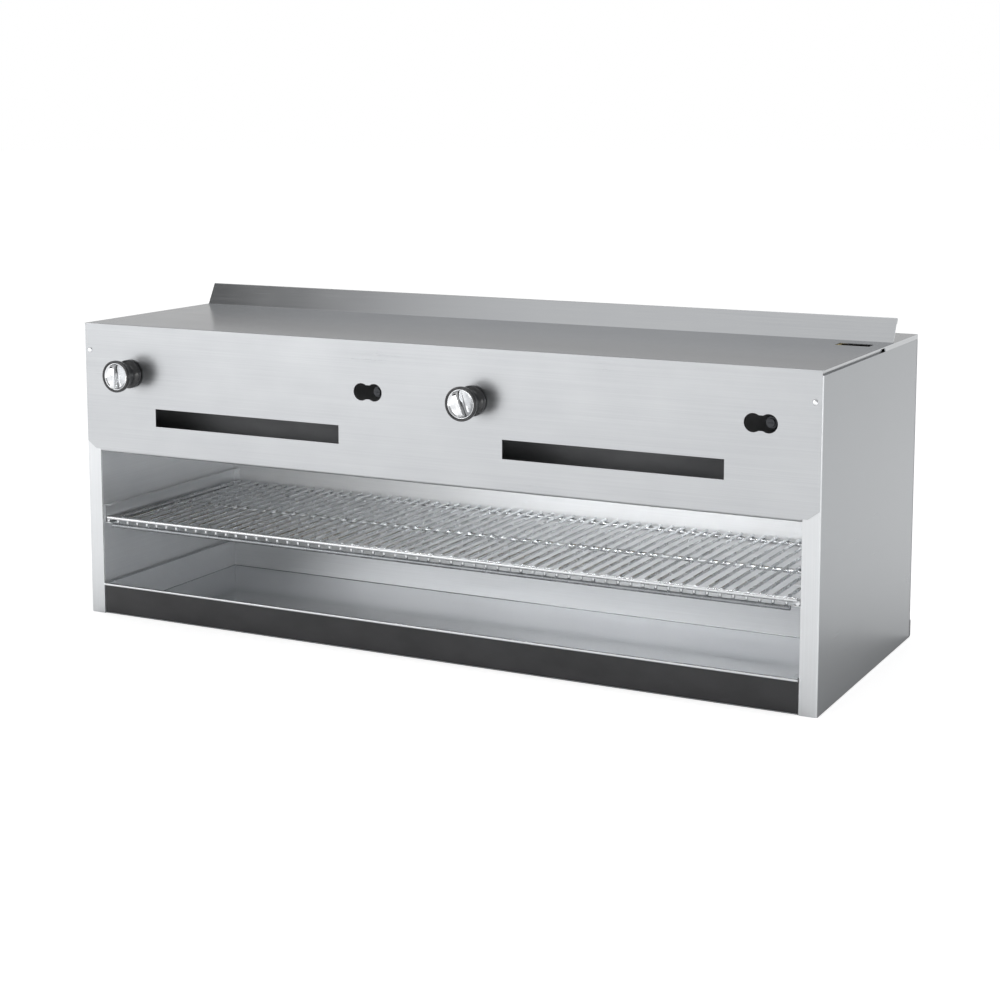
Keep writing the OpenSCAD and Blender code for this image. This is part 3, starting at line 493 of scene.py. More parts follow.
@dataclass(frozen=True, kw_only=True)
class PiercedCeramic(Finish):
    """Cordierite burner tile, pressed and fired, pierced with small gas ports.

    The eye sees a chalky cream face dotted with pin holes, whose dark is painted shade, scorched brown in
    places.
    """

    name: str = "cordierite_pierced"
    slot: str = "ceramic"
    light: str = "#e6dcc8"
    dark: str = "#cdb894"
    # the dark inside the gas ports is painted shade
    port_painted_shade: str = "#2c2620"
    roughness: float = 0.9
    scorch_mm: float = 60.0
    port_pitch_mm: float = 3.6  # real ports are 2 mm apart: drawn coarser, so that they show
    port_share: float = 0.3  # radius of a port as a share of the pitch
    rim_share: float = 0.06  # how far its soft rim reaches in and out, as such a share
    port_depth_mm: float = 0.8

    def shade(self, tree: bpy.types.NodeTree, shader: bpy.types.Node) -> None:
        """Build the fired clay with its grid of gas ports.

        Args:
            tree: The material's node tree.
            shader: Its Principled shader.
        """
        place = add_node(tree, "ShaderNodeTexCoord").outputs["Object"]
        pitch = (1 / (self.port_pitch_mm * MM),) * 3
        grid = add_node(tree, "ShaderNodeMapping", {"Vector": place, "Scale": pitch}).outputs[0]
        cell = add_node(tree, "ShaderNodeVectorMath", {0: grid}, {"operation": "FRACTION"}).outputs[0]
        flat = add_node(tree, "ShaderNodeMapping", {"Vector": cell, "Scale": (1, 1, 0)}).outputs[0]
        middle = (0.5, 0.5, 0.0)
        away = add_node(tree, "ShaderNodeVectorMath", {0: flat, 1: middle}, {"operation": "DISTANCE"})
        rim = {
            "Value": away.outputs["Value"],
            "From Min": self.port_share - self.rim_share,
            "From Max": self.port_share + self.rim_share,
        }
        solid = add_node(tree, "ShaderNodeMapRange", rim).outputs["Result"]
        clay = two_tone(tree, mottle(tree, (self.scorch_mm,) * 3, detail=3.0), self.dark, self.light)
        tones = {0: solid, 6: linear(self.port_painted_shade), 7: clay}
        inputs = {
            "Base Color": add_node(tree, "ShaderNodeMix", tones, {"data_type": "RGBA"}).outputs[2],
            "Normal": relief(tree, solid, self.port_depth_mm, strength=0.7),
            "Roughness": self.roughness,
        }
        feed(tree, shader, inputs)


@dataclass(frozen=True, kw_only=True)
class MineralWool(Finish):
    """Bonded mineral wool batt.

    The eye sees a matt yellow-grey felt of matted fibres.
    """

    name: str = "mineral_wool_felted"
    slot: str = "insulation"
    light: str = "#d8c894"
    dark: str = "#a8966a"
    roughness: float = 0.95
    fibre_mm: tuple[float, float, float] = (9.0, 2.0, 2.0)
    fibre_depth_mm: float = 1.2

    def shade(self, tree: bpy.types.NodeTree, shader: bpy.types.Node) -> None:
        """Build the felt: long and short fibres in two tones.

        Args:
            tree: The material's node tree.
            shader: Its Principled shader.
        """
        fibre = mottle(tree, self.fibre_mm, detail=5.0)
        inputs = {
            "Base Color": two_tone(tree, fibre, self.dark, self.light),
            "Normal": relief(tree, fibre, self.fibre_depth_mm, strength=0.9),
            "Roughness": self.roughness,
        }
        feed(tree, shader, inputs)


@dataclass(frozen=True, kw_only=True)
class MouldedRubber(TwoToneFinish):
    """Moulded EPDM rubber.

    The eye sees a soft charcoal black with a dusty bloom.
    """

    name: str = "rubber_moulded"
    slot: str = "rubber"
    light: str = "#323336"
    dark: str = "#232426"
    roughness: tuple[float, float] = (0.55, 0.75)
    metallic: float = 0.0
    bloom_mm: float = 7.0
    bloom_depth_mm: float = 0.05

    def shade(self, tree: bpy.types.NodeTree, shader: bpy.types.Node) -> None:
        """Build the rubber: charcoal with a paler bloom.

        Args:
            tree: The material's node tree.
            shader: Its Principled shader.
        """
        bloom = mottle(tree, (self.bloom_mm,) * 3, detail=4.0)
        self.coat(tree, shader, bloom, relief(tree, bloom, self.bloom_depth_mm, strength=0.5))


@dataclass(frozen=True, kw_only=True)
class SoftAluminium(TwoToneFinish):
    """Drawn soft aluminium tube.

    The eye sees a pale, satin metal with faint lines along it.
    """

    name: str = "aluminium_drawn"
    slot: str = "aluminium_tube"
    light: str = "#d8dadb"
    dark: str = "#c2c4c6"
    roughness: tuple[float, float] = (0.3, 0.42)
    line_mm: tuple[float, float, float] = (1.0, 1.0, 30.0)
    line_depth_mm: float = 0.01

    def shade(self, tree: bpy.types.NodeTree, shader: bpy.types.Node) -> None:
        """Build the drawn tube: satin, with lengthwise lines.

        Args:
            tree: The material's node tree.
            shader: Its Principled shader.
        """
        lines = mottle(tree, self.line_mm)
        self.coat(tree, shader, lines, relief(tree, lines, self.line_depth_mm, strength=0.5))


@dataclass(frozen=True, kw_only=True)
class StoveEnamel(TwoToneFinish):
    """Heat-proof enamel, sprayed on steel sheet and baked.

    The eye sees an even black with a soft sheen and slight orange peel.
    """

    name: str = "stove_enamel_black"
    slot: str = "stainless"
    light: str = "#39393b"
    dark: str = "#2f2f31"
    roughness: tuple[float, float] = (0.34, 0.46)
    metallic: float = 0.0
    cloud_mm: tuple[float, float, float] = (60.0, 40.0, 30.0)
    peel_mm: float = 2.5
    peel_depth_mm: float = 0.03

    def shade(self, tree: bpy.types.NodeTree, shader: bpy.types.Node) -> None:
        """Build the enamel: black, with cloudy sheen and orange peel.

        Args:
            tree: The material's node tree.
            shader: Its Principled shader.
        """
        cloud = mottle(tree, self.cloud_mm, detail=3.0)
        peel = mottle(tree, (self.peel_mm,) * 3)
        self.coat(tree, shader, cloud, relief(tree, peel, self.peel_depth_mm, strength=0.5))


STAINLESS_X = BrushedStainless(light="#c1c3c5", dark="#b6b8bb", roughness=(0.27, 0.35))
# the top sheet is the same brushed stainless as the front; its darker tone is painted shade
STAINLESS_TOP_PAINTED_SHADE = BrushedStainless(
    name="stainless_brushed_top_painted_shade", light="#b4b6b8", dark="#a9abae", roughness=(0.16, 0.24)
)
# the side panels are the same brushed stainless as the front; their much darker tone is painted shade
STAINLESS_SIDE_PAINTED_SHADE = BrushedStainless(
    name="stainless_brushed_sides_painted_shade",
    grain=Grain.ALONG_Y,
    light="#95989b",
    dark="#8b8e91",
    roughness=(0.20, 0.28),
)
# the side panels' front flanges are the same sheet as the sides; their lighter tone is painted light
STAINLESS_FLANGE_PAINTED_LIGHT = BrushedStainless(
    name="stainless_brushed_flanges_painted_light",
    grain=Grain.ALONG_Z,
    light="#dcdee0",
    dark="#d2d4d6",
    roughness=(0.36, 0.46),
)
STAINLESS_DEFLECTOR = BrushedStainless(
    name="stainless_brushed_deflector",
    light="#cfd1d3",
    dark="#c5c7ca",
    roughness=(0.15, 0.21),
)
# the rear liner and the burner deck are the same stainless as the casing; their near-white tone is
# painted light, which brightens the cavity
STAINLESS_LINER_PAINTED_LIGHT = BrushedStainless(
    name="stainless_satin_liner_painted_light",
    light="#eceef0",
    dark="#e2e4e6",
    roughness=(0.46, 0.56),
    metallic=0.45,
    wave_depth_mm=0.3,
)
# the cavity's side walls and rack guides are the same stainless as the casing; their near-white tone is
# painted light
STAINLESS_WALL_PAINTED_LIGHT = BrushedStainless(
    name="stainless_satin_walls_painted_light",
    grain=Grain.ALONG_Y,
    light="#eaecee",
    dark="#dfe1e3",
    roughness=(0.36, 0.46),
    metallic=0.7,
)
# the tray's walls are the same sheet as its floor; their lighter tone is painted light
STAINLESS_TRAY_WALL_PAINTED_LIGHT = BrushedStainless(
    name="stainless_satin_tray_walls_painted_light",
    light="#eceef0",
    dark="#e2e4e6",
    roughness=(0.36, 0.46),
    metallic=0.75,
)
STAINLESS_TRAY = BrushedStainless(
    name="stainless_satin_tray",
    light="#bfc1c4",
    dark="#b4b6b9",
    roughness=(0.12, 0.18),
    wave_depth_mm=0.3,
)
ENAMEL = StoveEnamel()
# the heat shield behind the valve panel's slots is aluminised sheet; its grey enamel tone is painted
# shade, which darkens what shows through the slots
SHIELD_PAINTED_SHADE = StoveEnamel(name="shield_grey_painted_shade", slot="aluminised", light="#8e8f92", dark="#828386")
ALUMINISED = AluminisedSheet()
PIPE = BlackPipe()
WIRE = ChromedWire()
# the nose rail is the same chrome as the other wires; its darker tone is a painted dark reflection
WIRE_PAINTED_SHADE = ChromedWire(name="chrome_plated_wire_painted_shade", light="#9a9da0", dark="#85888b")
TRIM = ChromedTrim()
PHENOLIC = BlackPhenolic()
BRASS = MachinedBrass()
CERAMIC = PiercedCeramic()
WOOL = MineralWool()
RUBBER = MouldedRubber()
TUBE = SoftAluminium()


def dress_node(node: str, finish: Finish) -> None:
    """Give a CAD node that stays its finish, through its material slots.

    Args:
        node: The node's name.
        finish: Its finish.
    """
    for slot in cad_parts[node].material_slots:
        slot.material = finish.material()
    LOG.info("dressed %s in %s", node, finish.name)


def start_alone() -> None:
    """Leave edit mode and deselect everything, so that an operator meets one piece only."""
    if bpy.context.mode != "OBJECT":
        bpy.ops.object.mode_set(mode="OBJECT")
    bpy.ops.object.select_all(action="DESELECT")


def take_up(piece: bpy.types.Object) -> None:
    """Make a piece the only selected object and the active one.

    Args:
        piece: The piece.
    """
    start_alone()
    piece.select_set(True)
    bpy.context.view_layer.objects.active = piece


def settle(piece: bpy.types.Object, body: str, finish: Finish, *nodes: str) -> bpy.types.Object:
    """Finish a modelled piece: apply its place, dress it and put it on its body.

    Args:
        piece: The piece, in place.
        body: The body that it moves with.
        finish: Its finish.
        *nodes: The CAD nodes that it stands for.

    Returns:
        The piece.
    """
    take_up(piece)
    bpy.ops.object.transform_apply(location=True, rotation=True, scale=True)
    piece.data.materials.clear()
    piece.data.materials.append(finish.material())
    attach(piece, body)
    if nodes:
        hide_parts(*nodes)
    LOG.info("built %s on %s in %s", piece.name, body, finish.name)
    return piece


def apply_bevel(piece: bpy.types.Object, width: float, segments: int, angle: float) -> None:
    """Break a piece's sharp edges with a bevel that is applied.

    Args:
        piece: The piece, which becomes the active one.
        width: Width of the bevel.
        segments: Number of flats in it.
        angle: Edges that turn by more than this are broken, in degrees.
    """
    take_up(piece)
    bevel = piece.modifiers.new("broken_edges", "BEVEL")
    bevel.width = width
    bevel.segments = segments
    bevel.limit_method = "ANGLE"
    bevel.angle_limit = math.radians(angle)
    bevel.use_clamp_overlap = True
    bpy.ops.object.modifier_apply(modifier=bevel.name)


def smooth(piece: bpy.types.Object, angle: float) -> None:
    """Shade a piece smooth, apart from edges that turn by more than an angle in degrees."""
    take_up(piece)
    bpy.ops.object.shade_smooth_by_angle(angle=math.radians(angle))


def settle_shading(piece: bpy.types.Object) -> None:
    """Let big flat faces keep their own shade, so that only bends and bevels blend.

    Args:
        piece: The piece, which becomes the active one.
    """
    take_up(piece)
    weights = piece.modifiers.new("flat_faces_first", "WEIGHTED_NORMAL")
    weights.keep_sharp = True
    weights.weight = 100
    bpy.ops.object.modifier_apply(modifier=weights.name)


def second_finish(
    piece: bpy.types.Object, finish: Finish, wanted: Callable[[Vector, Vector], bool]
) -> None:
    """Give some faces of a settled piece a finish of their own.

    Args:
        piece: The piece.
        finish: The other finish.
        wanted: Says of a face, by its middle and its normal, whether it gets the finish.
    """
    piece.data.materials.append(finish.material())
    number = len(piece.data.materials) - 1
    for face in piece.data.polygons:
        if wanted(face.center, face.normal):
            face.material_index = number


def merged_copy(node: str, name: str) -> bpy.types.Object:
    """Copy a CAD node's mesh into a new object and merge its loose triangles.

    Args:
        node: The CAD node.
        name: Name of the new object.

    Returns:
        The new object, at the origin.
    """
    piece = bpy.data.objects.new(name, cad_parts[node].data.copy())
    bpy.context.scene.collection.objects.link(piece)
    take_up(piece)
    bpy.ops.mesh.customdata_custom_splitnormals_clear()
    bpy.ops.object.mode_set(mode="EDIT")
    bpy.ops.mesh.select_all(action="SELECT")
    bpy.ops.mesh.remove_doubles(threshold=0.0002 * MM)
    bpy.ops.object.mode_set(mode="OBJECT")
    return piece


@dataclass
class Sheetwork:
    """Pieces of bent sheet: each is the CAD sheet with its edges broken and its bends smooth."""

    edge_w: float = 0.3 * MM
    edge_angle: float = 40.0  # the angles are in degrees
    bend_angle: float = 28.0
    flat_angle: float = 0.5

    def make(self, node: str, finish: Finish, body: str = "casing") -> bpy.types.Object:
        """Model one sheet and dress it.

        Args:
            node: The CAD node that the sheet stands for.
            finish: Its finish.
            body: The body that it moves with.

        Returns:
            The finished sheet.
        """
        piece = merged_copy(node, f"{node}_sheet")
        bpy.ops.object.mode_set(mode="EDIT")
        bpy.ops.mesh.select_all(action="SELECT")
        bpy.ops.mesh.dissolve_limited(angle_limit=math.radians(self.flat_angle))
        bpy.ops.object.mode_set(mode="OBJECT")
        apply_bevel(piece, self.edge_w, segments=2, angle=self.edge_angle)
        smooth(piece, self.bend_angle)
        settle_shading(piece)
        return settle(piece, body, finish, node)


def turned(name: str, steps: list[tuple[float, float]], segments: int) -> bpy.types.Object:
    """Turn a solid on the lathe: a disc is extruded and resized, step by step, along +Z.

    Args:
        name: Name of the new object.
        steps: Distance along the axis and radius of each step.
        segments: Number of flats round the piece.

    Returns:
        The solid, standing on the origin.
    """
    start_alone()
    height, radius = steps[0]
    bpy.ops.mesh.primitive_circle_add(
        vertices=segments, radius=radius, fill_type="NGON", location=(0, 0, height)
    )
    piece = bpy.context.active_object
    piece.name = name
    bpy.ops.object.transform_apply(location=True)
    bpy.ops.object.mode_set(mode="EDIT")
    bpy.ops.mesh.select_all(action="SELECT")
    for (low, inner), (high, outer) in pairwise(steps):
        bpy.ops.mesh.extrude_region_move(TRANSFORM_OT_translate={"value": (0, 0, high - low)})
        share = outer / inner
        bpy.ops.transform.resize(value=(share, share, 1), center_override=(0, 0, high))
    bpy.ops.mesh.select_all(action="SELECT")
    bpy.ops.mesh.normals_make_consistent(inside=False)
    bpy.ops.object.mode_set(mode="OBJECT")
    return piece


@dataclass
class Casing:
    """The outer sheets, their screws, the base and the rubber bumpers."""

    sheetwork: Sheetwork
    bumper_edge_w: float = 1.2 * MM

    def build(self) -> None:
        """Build and dress the casing's pieces."""
        make = self.sheetwork.make
        for side in Side:
            panel = make(f"{side.prefix}_side_panel", STAINLESS_SIDE_PAINTED_SHADE)
            # faces that look to the front get the lighter tone, which is painted light
            second_finish(panel, STAINLESS_FLANGE_PAINTED_LIGHT, lambda middle, normal: normal.y < -FACING)
        make("top_cover", STAINLESS_TOP_PAINTED_SHADE)
        for node in ("front_valve_panel", "back_panel"):
            make(node, STAINLESS_X)
        make("base_pan", ALUMINISED)
        dress_node("leg_nuts", PIPE)
        bumpers = merged_copy("rear_bumpers", "rear_bumper_blocks")
        apply_bevel(bumpers, self.bumper_edge_w, segments=3, angle=30.0)
        smooth(bumpers, angle=35.0)
        settle(bumpers, "casing", RUBBER, "rear_bumpers")
        for node in ("front_panel_screws", "back_panel_screws"):
            dress_node(node, TRIM)


@dataclass
class Cavity:
    """The cooking cavity's walls, its roof and the shields above it."""

    sheetwork: Sheetwork

    def build(self) -> None:
        """Build and dress the cavity's pieces."""
        make = self.sheetwork.make
        for side in Side:
            make(f"{side.prefix}_liner", STAINLESS_WALL_PAINTED_LIGHT)
        make("rear_liner", STAINLESS_LINER_PAINTED_LIGHT)
        make("burner_deck", STAINLESS_LINER_PAINTED_LIGHT)
        make("control_heat_shield", SHIELD_PAINTED_SHADE)
        make("burner_roof", ALUMINISED)
        dress_node("roof_insulation", WOOL)


@dataclass
class Flue:
    """The flue behind the cavity and its deflector on the top sheet."""

    sheetwork: Sheetwork

    def build(self) -> None:
        """Build and dress the flue's pieces."""
        self.sheetwork.make("flue_front_wall", ALUMINISED)
        self.sheetwork.make("flue_duct", ALUMINISED)
        self.sheetwork.make("flue_deflector", STAINLESS_DEFLECTOR)
        dress_node("deflector_screws", TRIM)


@dataclass
class Rack:
    """The sliding wire rack and its guides."""

    sheetwork: Sheetwork
    wire_angle: float = 50.0  # in degrees
    nose_y: float = -218.0 * MM  # the nose rail lies in front of this and below nose_z
    nose_z: float = 149.0 * MM

    def build(self) -> None:
        """Build and dress the rack and its guides; its nose rail gets a darker tone, which is a painted
        dark reflection.
        """
        rack = merged_copy("wire_rack", "wire_rack_welded")
        smooth(rack, self.wire_angle)
        settle(rack, "rack", WIRE, "wire_rack")
        # the nose rail's darker tone is a painted dark reflection
        second_finish(
            rack, WIRE_PAINTED_SHADE, lambda middle, normal: middle.y < self.nose_y and middle.z < self.nose_z
        )
        for side in Side:
            self.sheetwork.make(f"{side.prefix}_rack_guide", STAINLESS_WALL_PAINTED_LIGHT)


@dataclass
class Tray:
    """The drip tray: bright floor, satin walls in a lighter tone that is painted light, enamelled black
    in front, with a rolled lip.
    """

    sheetwork: Sheetwork
    front_y: float = -222.0 * MM  # the front lies before this and below lip_low
    lip_low: float = 46.0 * MM
    front_facing: float = 0.3  # as FACING, for the front with its curved edges

    def build(self) -> None:
        """Build and dress the tray."""
        tray = self.sheetwork.make("drip_tray", STAINLESS_TRAY, "tray")
        # upright faces get the lighter tone, which is painted light
        second_finish(tray, STAINLESS_TRAY_WALL_PAINTED_LIGHT, lambda middle, normal: abs(normal.z) < FACING)
        second_finish(tray, ENAMEL, self.is_front)

    def is_front(self, middle: Vector, normal: Vector) -> bool:
        """Tell whether a face is on the outside of the tray's front, below the lip.

        Args:
            middle: The face's middle.
            normal: The face's normal.

        Returns:
            True for such a face.
        """
        return normal.y < -self.front_facing and middle.y < self.front_y and middle.z < self.lip_low


@dataclass
class Burner:
    """One infrared burner: frame, plenum box, tiles, screen and mixer tube."""

    side: Side

    def build(self) -> None:
        """Dress the burner's pieces."""
        finishes = {
            "burner_frame": ALUMINISED,
            "burner_box": PIPE,
            "ceramic_tiles": CERAMIC,
            "burner_screen": WIRE,
            "mixer": PIPE,
        }
        for piece, finish in finishes.items():
            dress_node(f"{self.side.prefix}_{piece}", finish)


@dataclass
class GasTrain:
    """The gas pipe, the valves and the pilots."""

    def build(self) -> None:
        """Dress the gas train's pieces."""
        for node in ("gas_manifold", "inlet_elbow", "inlet_pipe", "inlet_coupling"):
            dress_node(node, PIPE)
        dress_node("manifold_brackets", ALUMINISED)
        for side in Side:
            for piece in ("gas_valve", "orifice_hood", "valve_stem", "pilot_burner"):
                dress_node(f"{side.prefix}_{piece}", BRASS)
            dress_node(f"{side.prefix}_pilot_valve", PIPE)
            dress_node(f"{side.prefix}_pilot_tube", TUBE)


@dataclass
class Knob:
    """One control knob: a phenolic body with a dished front, a chromed cap and its grip bar.

    It is modelled on its own axis, which points at the user, and then put in its place.
    """

    side: Side
    axis_x: float
    turn: float  # degrees, anticlockwise as seen from the front
    axis_z: float = 394.0 * MM
    back_y: float = -229.5 * MM
    seat: float = 32.0 * MM  # height of the cap's seat above the knob's back
    segments: int = 96
    body_profile: tuple[tuple[float, float], ...] = (  # height and radius in millimetres
        (0.0, 21.8),
        (0.7, 22.5),
        (5.0, 22.5),
        (6.4, 21.9),
        (7.4, 20.6),
        (8.6, 18.8),
        (10.4, 17.3),
        (13.0, 16.5),
        (21.0, 16.5),
        (23.4, 17.2),
        (25.2, 18.8),
        (27.0, 21.2),
        (28.8, 23.6),
        (30.6, 24.8),
        (32.0, 25.0),
        (35.6, 25.0),
        (36.6, 24.6),
        (37.0, 23.8),
        (37.0, 22.7),
        (36.6, 21.9),
        (35.8, 21.5),
        (32.0, 21.5),
    )
    cap_profile: tuple[tuple[float, float], ...] = (
        (0.0, 21.4),
        (3.3, 21.4),
        (3.8, 20.9),
        (3.8, 20.3),
        (3.3, 19.6),
        (2.1, 18.3),
        (1.8, 17.6),
    )
    bar_profile: tuple[tuple[float, float], ...] = (  # outline of the bar's ends
        (0.2, 20.0),
        (5.0, 20.0),
        (9.0, 19.0),
        (12.0, 17.0),
        (14.0, 13.5),
    )
    bar_foot_w: float = 13.6 * MM
    bar_crest_w: float = 7.4 * MM
    bar_edge_w: float = 1.6 * MM
    cap_edge_w: float = 0.5 * MM
    smooth_angle: float = 40.0

    def build(self) -> None:
        """Build the body and the cap and set them on the valve's stem."""
        prefix = self.side.prefix
        body = turned(f"{prefix}_knob_body", self.scaled(self.body_profile), self.segments)
        smooth(body, self.smooth_angle)
        self.put_in_place(body, 0.0)
        settle(body, f"{prefix}_knob_set", PHENOLIC, f"{prefix}_knob")
        cap = turned(f"{prefix}_knob_cap", self.scaled(self.cap_profile), self.segments)
        self.combine(cap, self.grip_bar(), "UNION")
        apply_bevel(cap, self.cap_edge_w, segments=2, angle=45.0)
        smooth(cap, self.smooth_angle)
        self.put_in_place(cap, self.seat)
        settle(cap, f"{prefix}_knob_set", TRIM, f"{prefix}_knob_face")

    def scaled(self, profile: tuple[tuple[float, float], ...]) -> list[tuple[float, float]]:
        """Turn a profile in millimetres into one in metres."""
        return [(height * MM, radius * MM) for height, radius in profile]

    def grip_bar(self) -> bpy.types.Object:
        """Model the grip bar: a tapered block whose ends follow the cap's round outline.

        Returns:
            The bar, on the cap's axis.
        """
        start_alone()
        low, high = self.bar_profile[0][0] * MM, self.bar_profile[-1][0] * MM
        size = (self.bar_foot_w, 2 * self.bar_profile[0][1] * MM, high - low)
        bpy.ops.mesh.primitive_cube_add(size=1, scale=size, location=(0, 0, (low + high) / 2))
        bar = bpy.context.active_object
        bpy.ops.object.transform_apply(location=True, rotation=True, scale=True)
        bpy.ops.object.mode_set(mode="EDIT")
        bpy.ops.mesh.select_all(action="DESELECT")
        bpy.ops.object.mode_set(mode="OBJECT")
        for corner in bar.data.vertices:
            corner.select = corner.co.z > (low + high) / 2
        bpy.ops.object.mode_set(mode="EDIT")
        share = self.bar_crest_w / self.bar_foot_w
        bpy.ops.transform.resize(value=(share, 1, 1), center_override=(0, 0, high))
        bpy.ops.object.mode_set(mode="OBJECT")
        apply_bevel(bar, self.bar_edge_w, segments=4, angle=30.0)
        outline = turned("bar_outline", self.scaled(self.bar_profile), self.segments)
        self.combine(bar, outline, "INTERSECT")
        return bar

    def combine(self, piece: bpy.types.Object, other: bpy.types.Object, how: str) -> None:
        """Unite a piece with another solid, or keep what they share, and remove the other.

        Args:
            piece: The piece that is changed.
            other: The other solid.
            how: "UNION" or "INTERSECT".
        """
        take_up(piece)
        change = piece.modifiers.new("combine", "BOOLEAN")
        change.operation = how
        change.object = other
        change.solver = "EXACT"
        bpy.ops.object.modifier_apply(modifier=change.name)
        bpy.data.objects.remove(other)

    def put_in_place(self, piece: bpy.types.Object, height: float) -> None:
        """Turn a piece to face the front and set it on the knob's axis.

        Args:
            piece: The piece, modelled along +Z.
            height: Its distance from the knob's back.
        """
        place = Matrix.Translation((self.axis_x, self.back_y - height, self.axis_z))
        turn = Matrix.Rotation(math.radians(-self.turn), 4, "Y")
        piece.matrix_world = place @ turn @ Matrix.Rotation(math.radians(90), 4, "X")


@dataclass(frozen=True, kw_only=True)
class StudioFloor(Finish):
    """Matt white studio floor.

    The eye sees plain white with only the soft shadow of what stands on it.
    """

    name: str = "studio_floor_white"
    slot: str = ""
    colour: str = "#e8e8e8"
    roughness: float = 0.9
    glow: float = 0.66
    shade_reach: float = 1.4
    shade_power: float = 2.8

    def shade(self, tree: bpy.types.NodeTree, shader: bpy.types.Node) -> None:
        """Build a white floor that camera and mirror rays see a little lighter.

        Mirrors see less of it close to the object, where the object's own shade lies.

        Args:
            tree: The material's node tree.
            shader: Its Principled shader.
        """
        rays = add_node(tree, "ShaderNodeLightPath").outputs
        inputs = {"Distance": self.shade_reach}
        open_sky = add_node(tree, "ShaderNodeAmbientOcclusion", inputs, {"samples": 8}).outputs["AO"]
        inputs = {0: open_sky, 1: self.shade_power}
        shade = add_node(tree, "ShaderNodeMath", inputs, {"operation": "POWER"}).outputs[0]
        inputs = {0: rays["Is Glossy Ray"], 1: shade}
        seen = add_node(tree, "ShaderNodeMath", inputs, {"operation": "MULTIPLY"}).outputs[0]
        for kind in ("Is Camera Ray", "Is Transmission Ray"):
            add = {0: seen, 1: rays[kind]}
            seen = add_node(tree, "ShaderNodeMath", add, {"operation": "MAXIMUM"}).outputs[0]
        glow = add_node(tree, "ShaderNodeMath", {0: seen, 1: self.glow}, {"operation": "MULTIPLY"})
        inputs = {
            "Base Color": linear(self.colour),
            "Roughness": self.roughness,
            "Specular IOR Level": 0.0,
            "Emission Color": (1, 1, 1, 1),
            "Emission Strength": glow.outputs[0],
        }
        feed(tree, shader, inputs)


@dataclass(frozen=True)
class Patch:
    """A soft, round patch of the studio's surroundings that is lighter or darker.

    The direction points from the object to the patch; the patch is full inside the inner
    angle and ends at the outer one, both in degrees.
    """

    direction: tuple[float, float, float]
    inner: float
    outer: float
    level: float


@dataclass(frozen=True)
class Softbox:
    """A rectangular lamp that looks at a point; its face renders white at a radiance of 1."""

    name: str
    place: tuple[float, float, float]
    size: tuple[float, float]
    radiance: float
    target: tuple[float, float, float] = (0.0, 0.0, 0.25)

    def hang(self) -> None:
        """Hang the lamp in its place and turn it to its target."""
        lamp = bpy.data.lights.new(self.name, "AREA")
        lamp.shape = "RECTANGLE"
        lamp.size, lamp.size_y = self.size
        lamp.energy = self.radiance * math.pi * self.size[0] * self.size[1]
        lamp_object = bpy.data.objects.new(self.name, lamp)
        bpy.context.scene.collection.objects.link(lamp_object)
        lamp_object.location = self.place
        aim = Vector(self.target) - Vector(self.place)
        lamp_object.rotation_euler = aim.to_track_quat("-Z", "Y").to_euler()


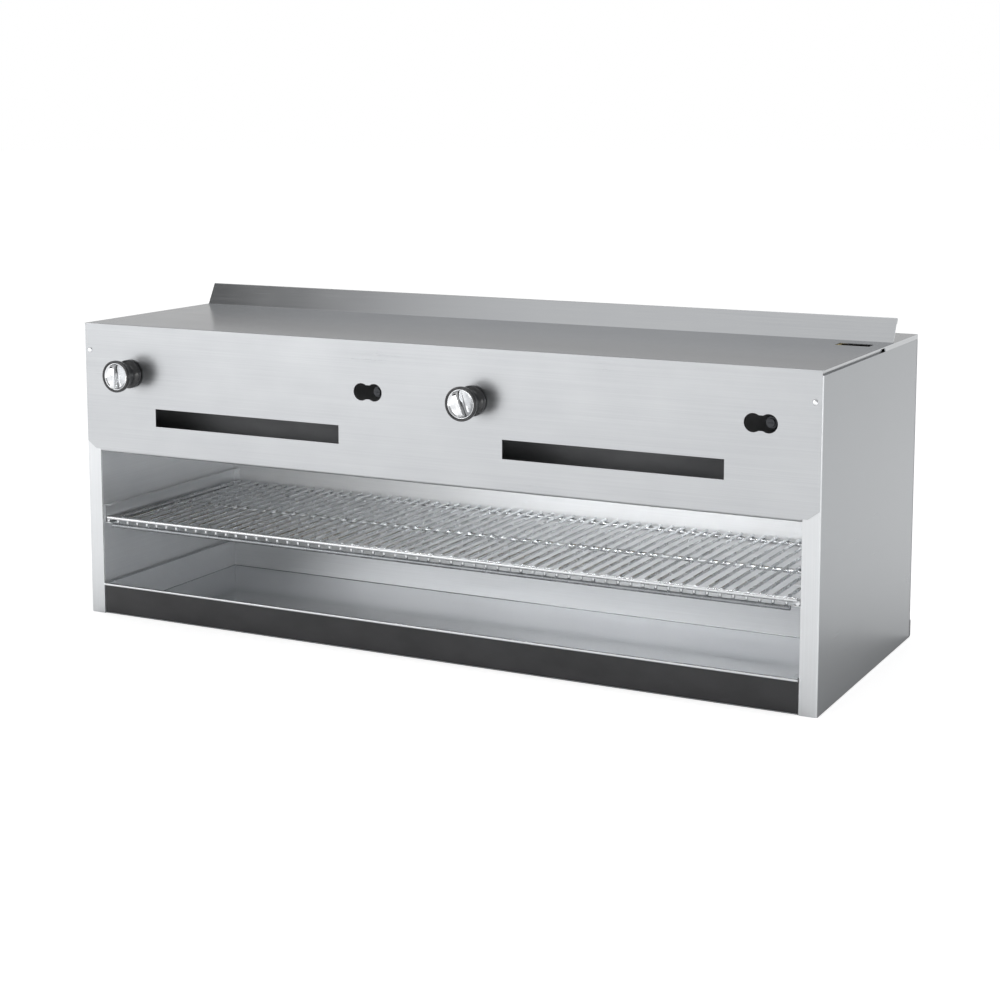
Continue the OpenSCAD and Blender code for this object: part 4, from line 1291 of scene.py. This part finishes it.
@dataclass
class Studio:
    """The pale floor, the soft light and the camera."""

    floor_r: float = 30.0
    camera_place: tuple[float, float, float] = (1.3933, -2.6778, 0.8199)
    camera_azimuth: float = 27.21
    camera_pitch: float = 7.538
    focal_px: float = 1961.1
    image_px: float = 1000.0
    shift_px: float = -140.0
    sensor_mm: float = 36.0
    sky_level: float = 0.46
    horizon_level: float = 1.0
    horizon_low: float = 0.08
    horizon_high: float = 0.125
    patches: tuple[Patch, ...] = (
        Patch((-0.41, -0.58, 0.70), 8.0, 25.0, 0.80),
        Patch((-0.73, -0.44, 0.53), 10.0, 19.0, 0.02),
        Patch((0.80, -0.55, 0.15), 15.0, 40.0, 0.40),
    )
    softboxes: tuple[Softbox, ...] = (
        Softbox("front_softbox", (-2.6, -3.4, 1.35), (2.6, 1.5), 1.4),
        Softbox("left_fill", (-1.5, -2.6, 0.80), (2.8, 0.50), 1.8),
        Softbox("right_fill", (1.9, -2.5, 0.32), (1.6, 0.5), 3.2),
        Softbox("top_softbox", (0.4, 0.6, 3.2), (3.0, 2.0), 1.1),
        # a thin strip under the valve panel's lower edge, which lights the cavity
        Softbox("cavity_strip", (0.18, -0.205, 0.258), (0.74, 0.02), 21.0, (0.18, 0.14, 0.16)),
    )

    def build(self) -> None:
        """Build the studio."""
        self.lay_floor()
        self.surround()
        for softbox in self.softboxes:
            softbox.hang()
        self.set_camera()

    def lay_floor(self) -> None:
        """Lay a round white floor under the object."""
        start_alone()
        bpy.ops.mesh.primitive_circle_add(vertices=96, radius=self.floor_r, fill_type="NGON")
        floor = bpy.context.active_object
        floor.name = "studio_floor"
        floor.data.materials.append(StudioFloor().material())

    def surround(self) -> None:
        """Give the studio pale surroundings, lighter below and with soft patches."""
        world = bpy.data.worlds.new("studio_surroundings")
        bpy.context.scene.world = world
        world.use_nodes = True
        tree = world.node_tree
        way = add_node(tree, "ShaderNodeTexCoord").outputs["Generated"]
        height = add_node(tree, "ShaderNodeSeparateXYZ", {0: way}).outputs["Z"]
        inputs = {
            "Value": height,
            "From Min": self.horizon_low,
            "From Max": self.horizon_high,
            "To Min": self.horizon_level,
            "To Max": self.sky_level,
        }
        soft = {"interpolation_type": "SMOOTHSTEP"}
        level = add_node(tree, "ShaderNodeMapRange", inputs, soft).outputs["Result"]
        for patch in self.patches:
            aim = tuple(Vector(patch.direction).normalized())
            near = add_node(tree, "ShaderNodeVectorMath", {0: way, 1: aim}, {"operation": "DOT_PRODUCT"})
            edges = {
                "Value": near.outputs["Value"],
                "From Min": math.cos(math.radians(patch.outer)),
                "From Max": math.cos(math.radians(patch.inner)),
            }
            share = add_node(tree, "ShaderNodeMapRange", edges, soft).outputs["Result"]
            mixed = add_node(tree, "ShaderNodeMix", {0: share, 2: level, 3: patch.level})
            level = mixed.outputs[0]
        tree.links.new(level, tree.nodes["Background"].inputs["Strength"])
        tree.nodes["Background"].inputs["Color"].default_value = (1, 1, 1, 1)

    def set_camera(self) -> None:
        """Set the camera at the product view, from the front right and a little above."""
        scene = bpy.context.scene
        lens = bpy.data.cameras.new("product_camera")
        lens.sensor_width = self.sensor_mm
        lens.lens = self.focal_px * self.sensor_mm / self.image_px
        lens.shift_y = self.shift_px / self.image_px
        camera = bpy.data.objects.new("product_camera", lens)
        scene.collection.objects.link(camera)
        camera.location = self.camera_place
        tilt = math.radians(90.0 - self.camera_pitch)
        camera.rotation_euler = (tilt, 0.0, math.radians(self.camera_azimuth))
        scene.camera = camera
        scene.view_settings.view_transform = "Standard"


def main() -> None:
    """Build the studio and dress the machine, sub-assembly by sub-assembly."""
    logging.basicConfig(level=logging.INFO, format="%(name)s: %(message)s")
    sheetwork = Sheetwork()
    Studio().build()
    Casing(sheetwork).build()
    Cavity(sheetwork).build()
    Flue(sheetwork).build()
    Rack(sheetwork).build()
    Tray(sheetwork).build()
    for side in Side:
        Burner(side).build()
    GasTrain().build()
    Knob(Side.LEFT, axis_x=-519.75 * MM, turn=0.0).build()
    Knob(Side.RIGHT, axis_x=89.75 * MM, turn=18.0).build()


if __name__ == "__main__":
    main()
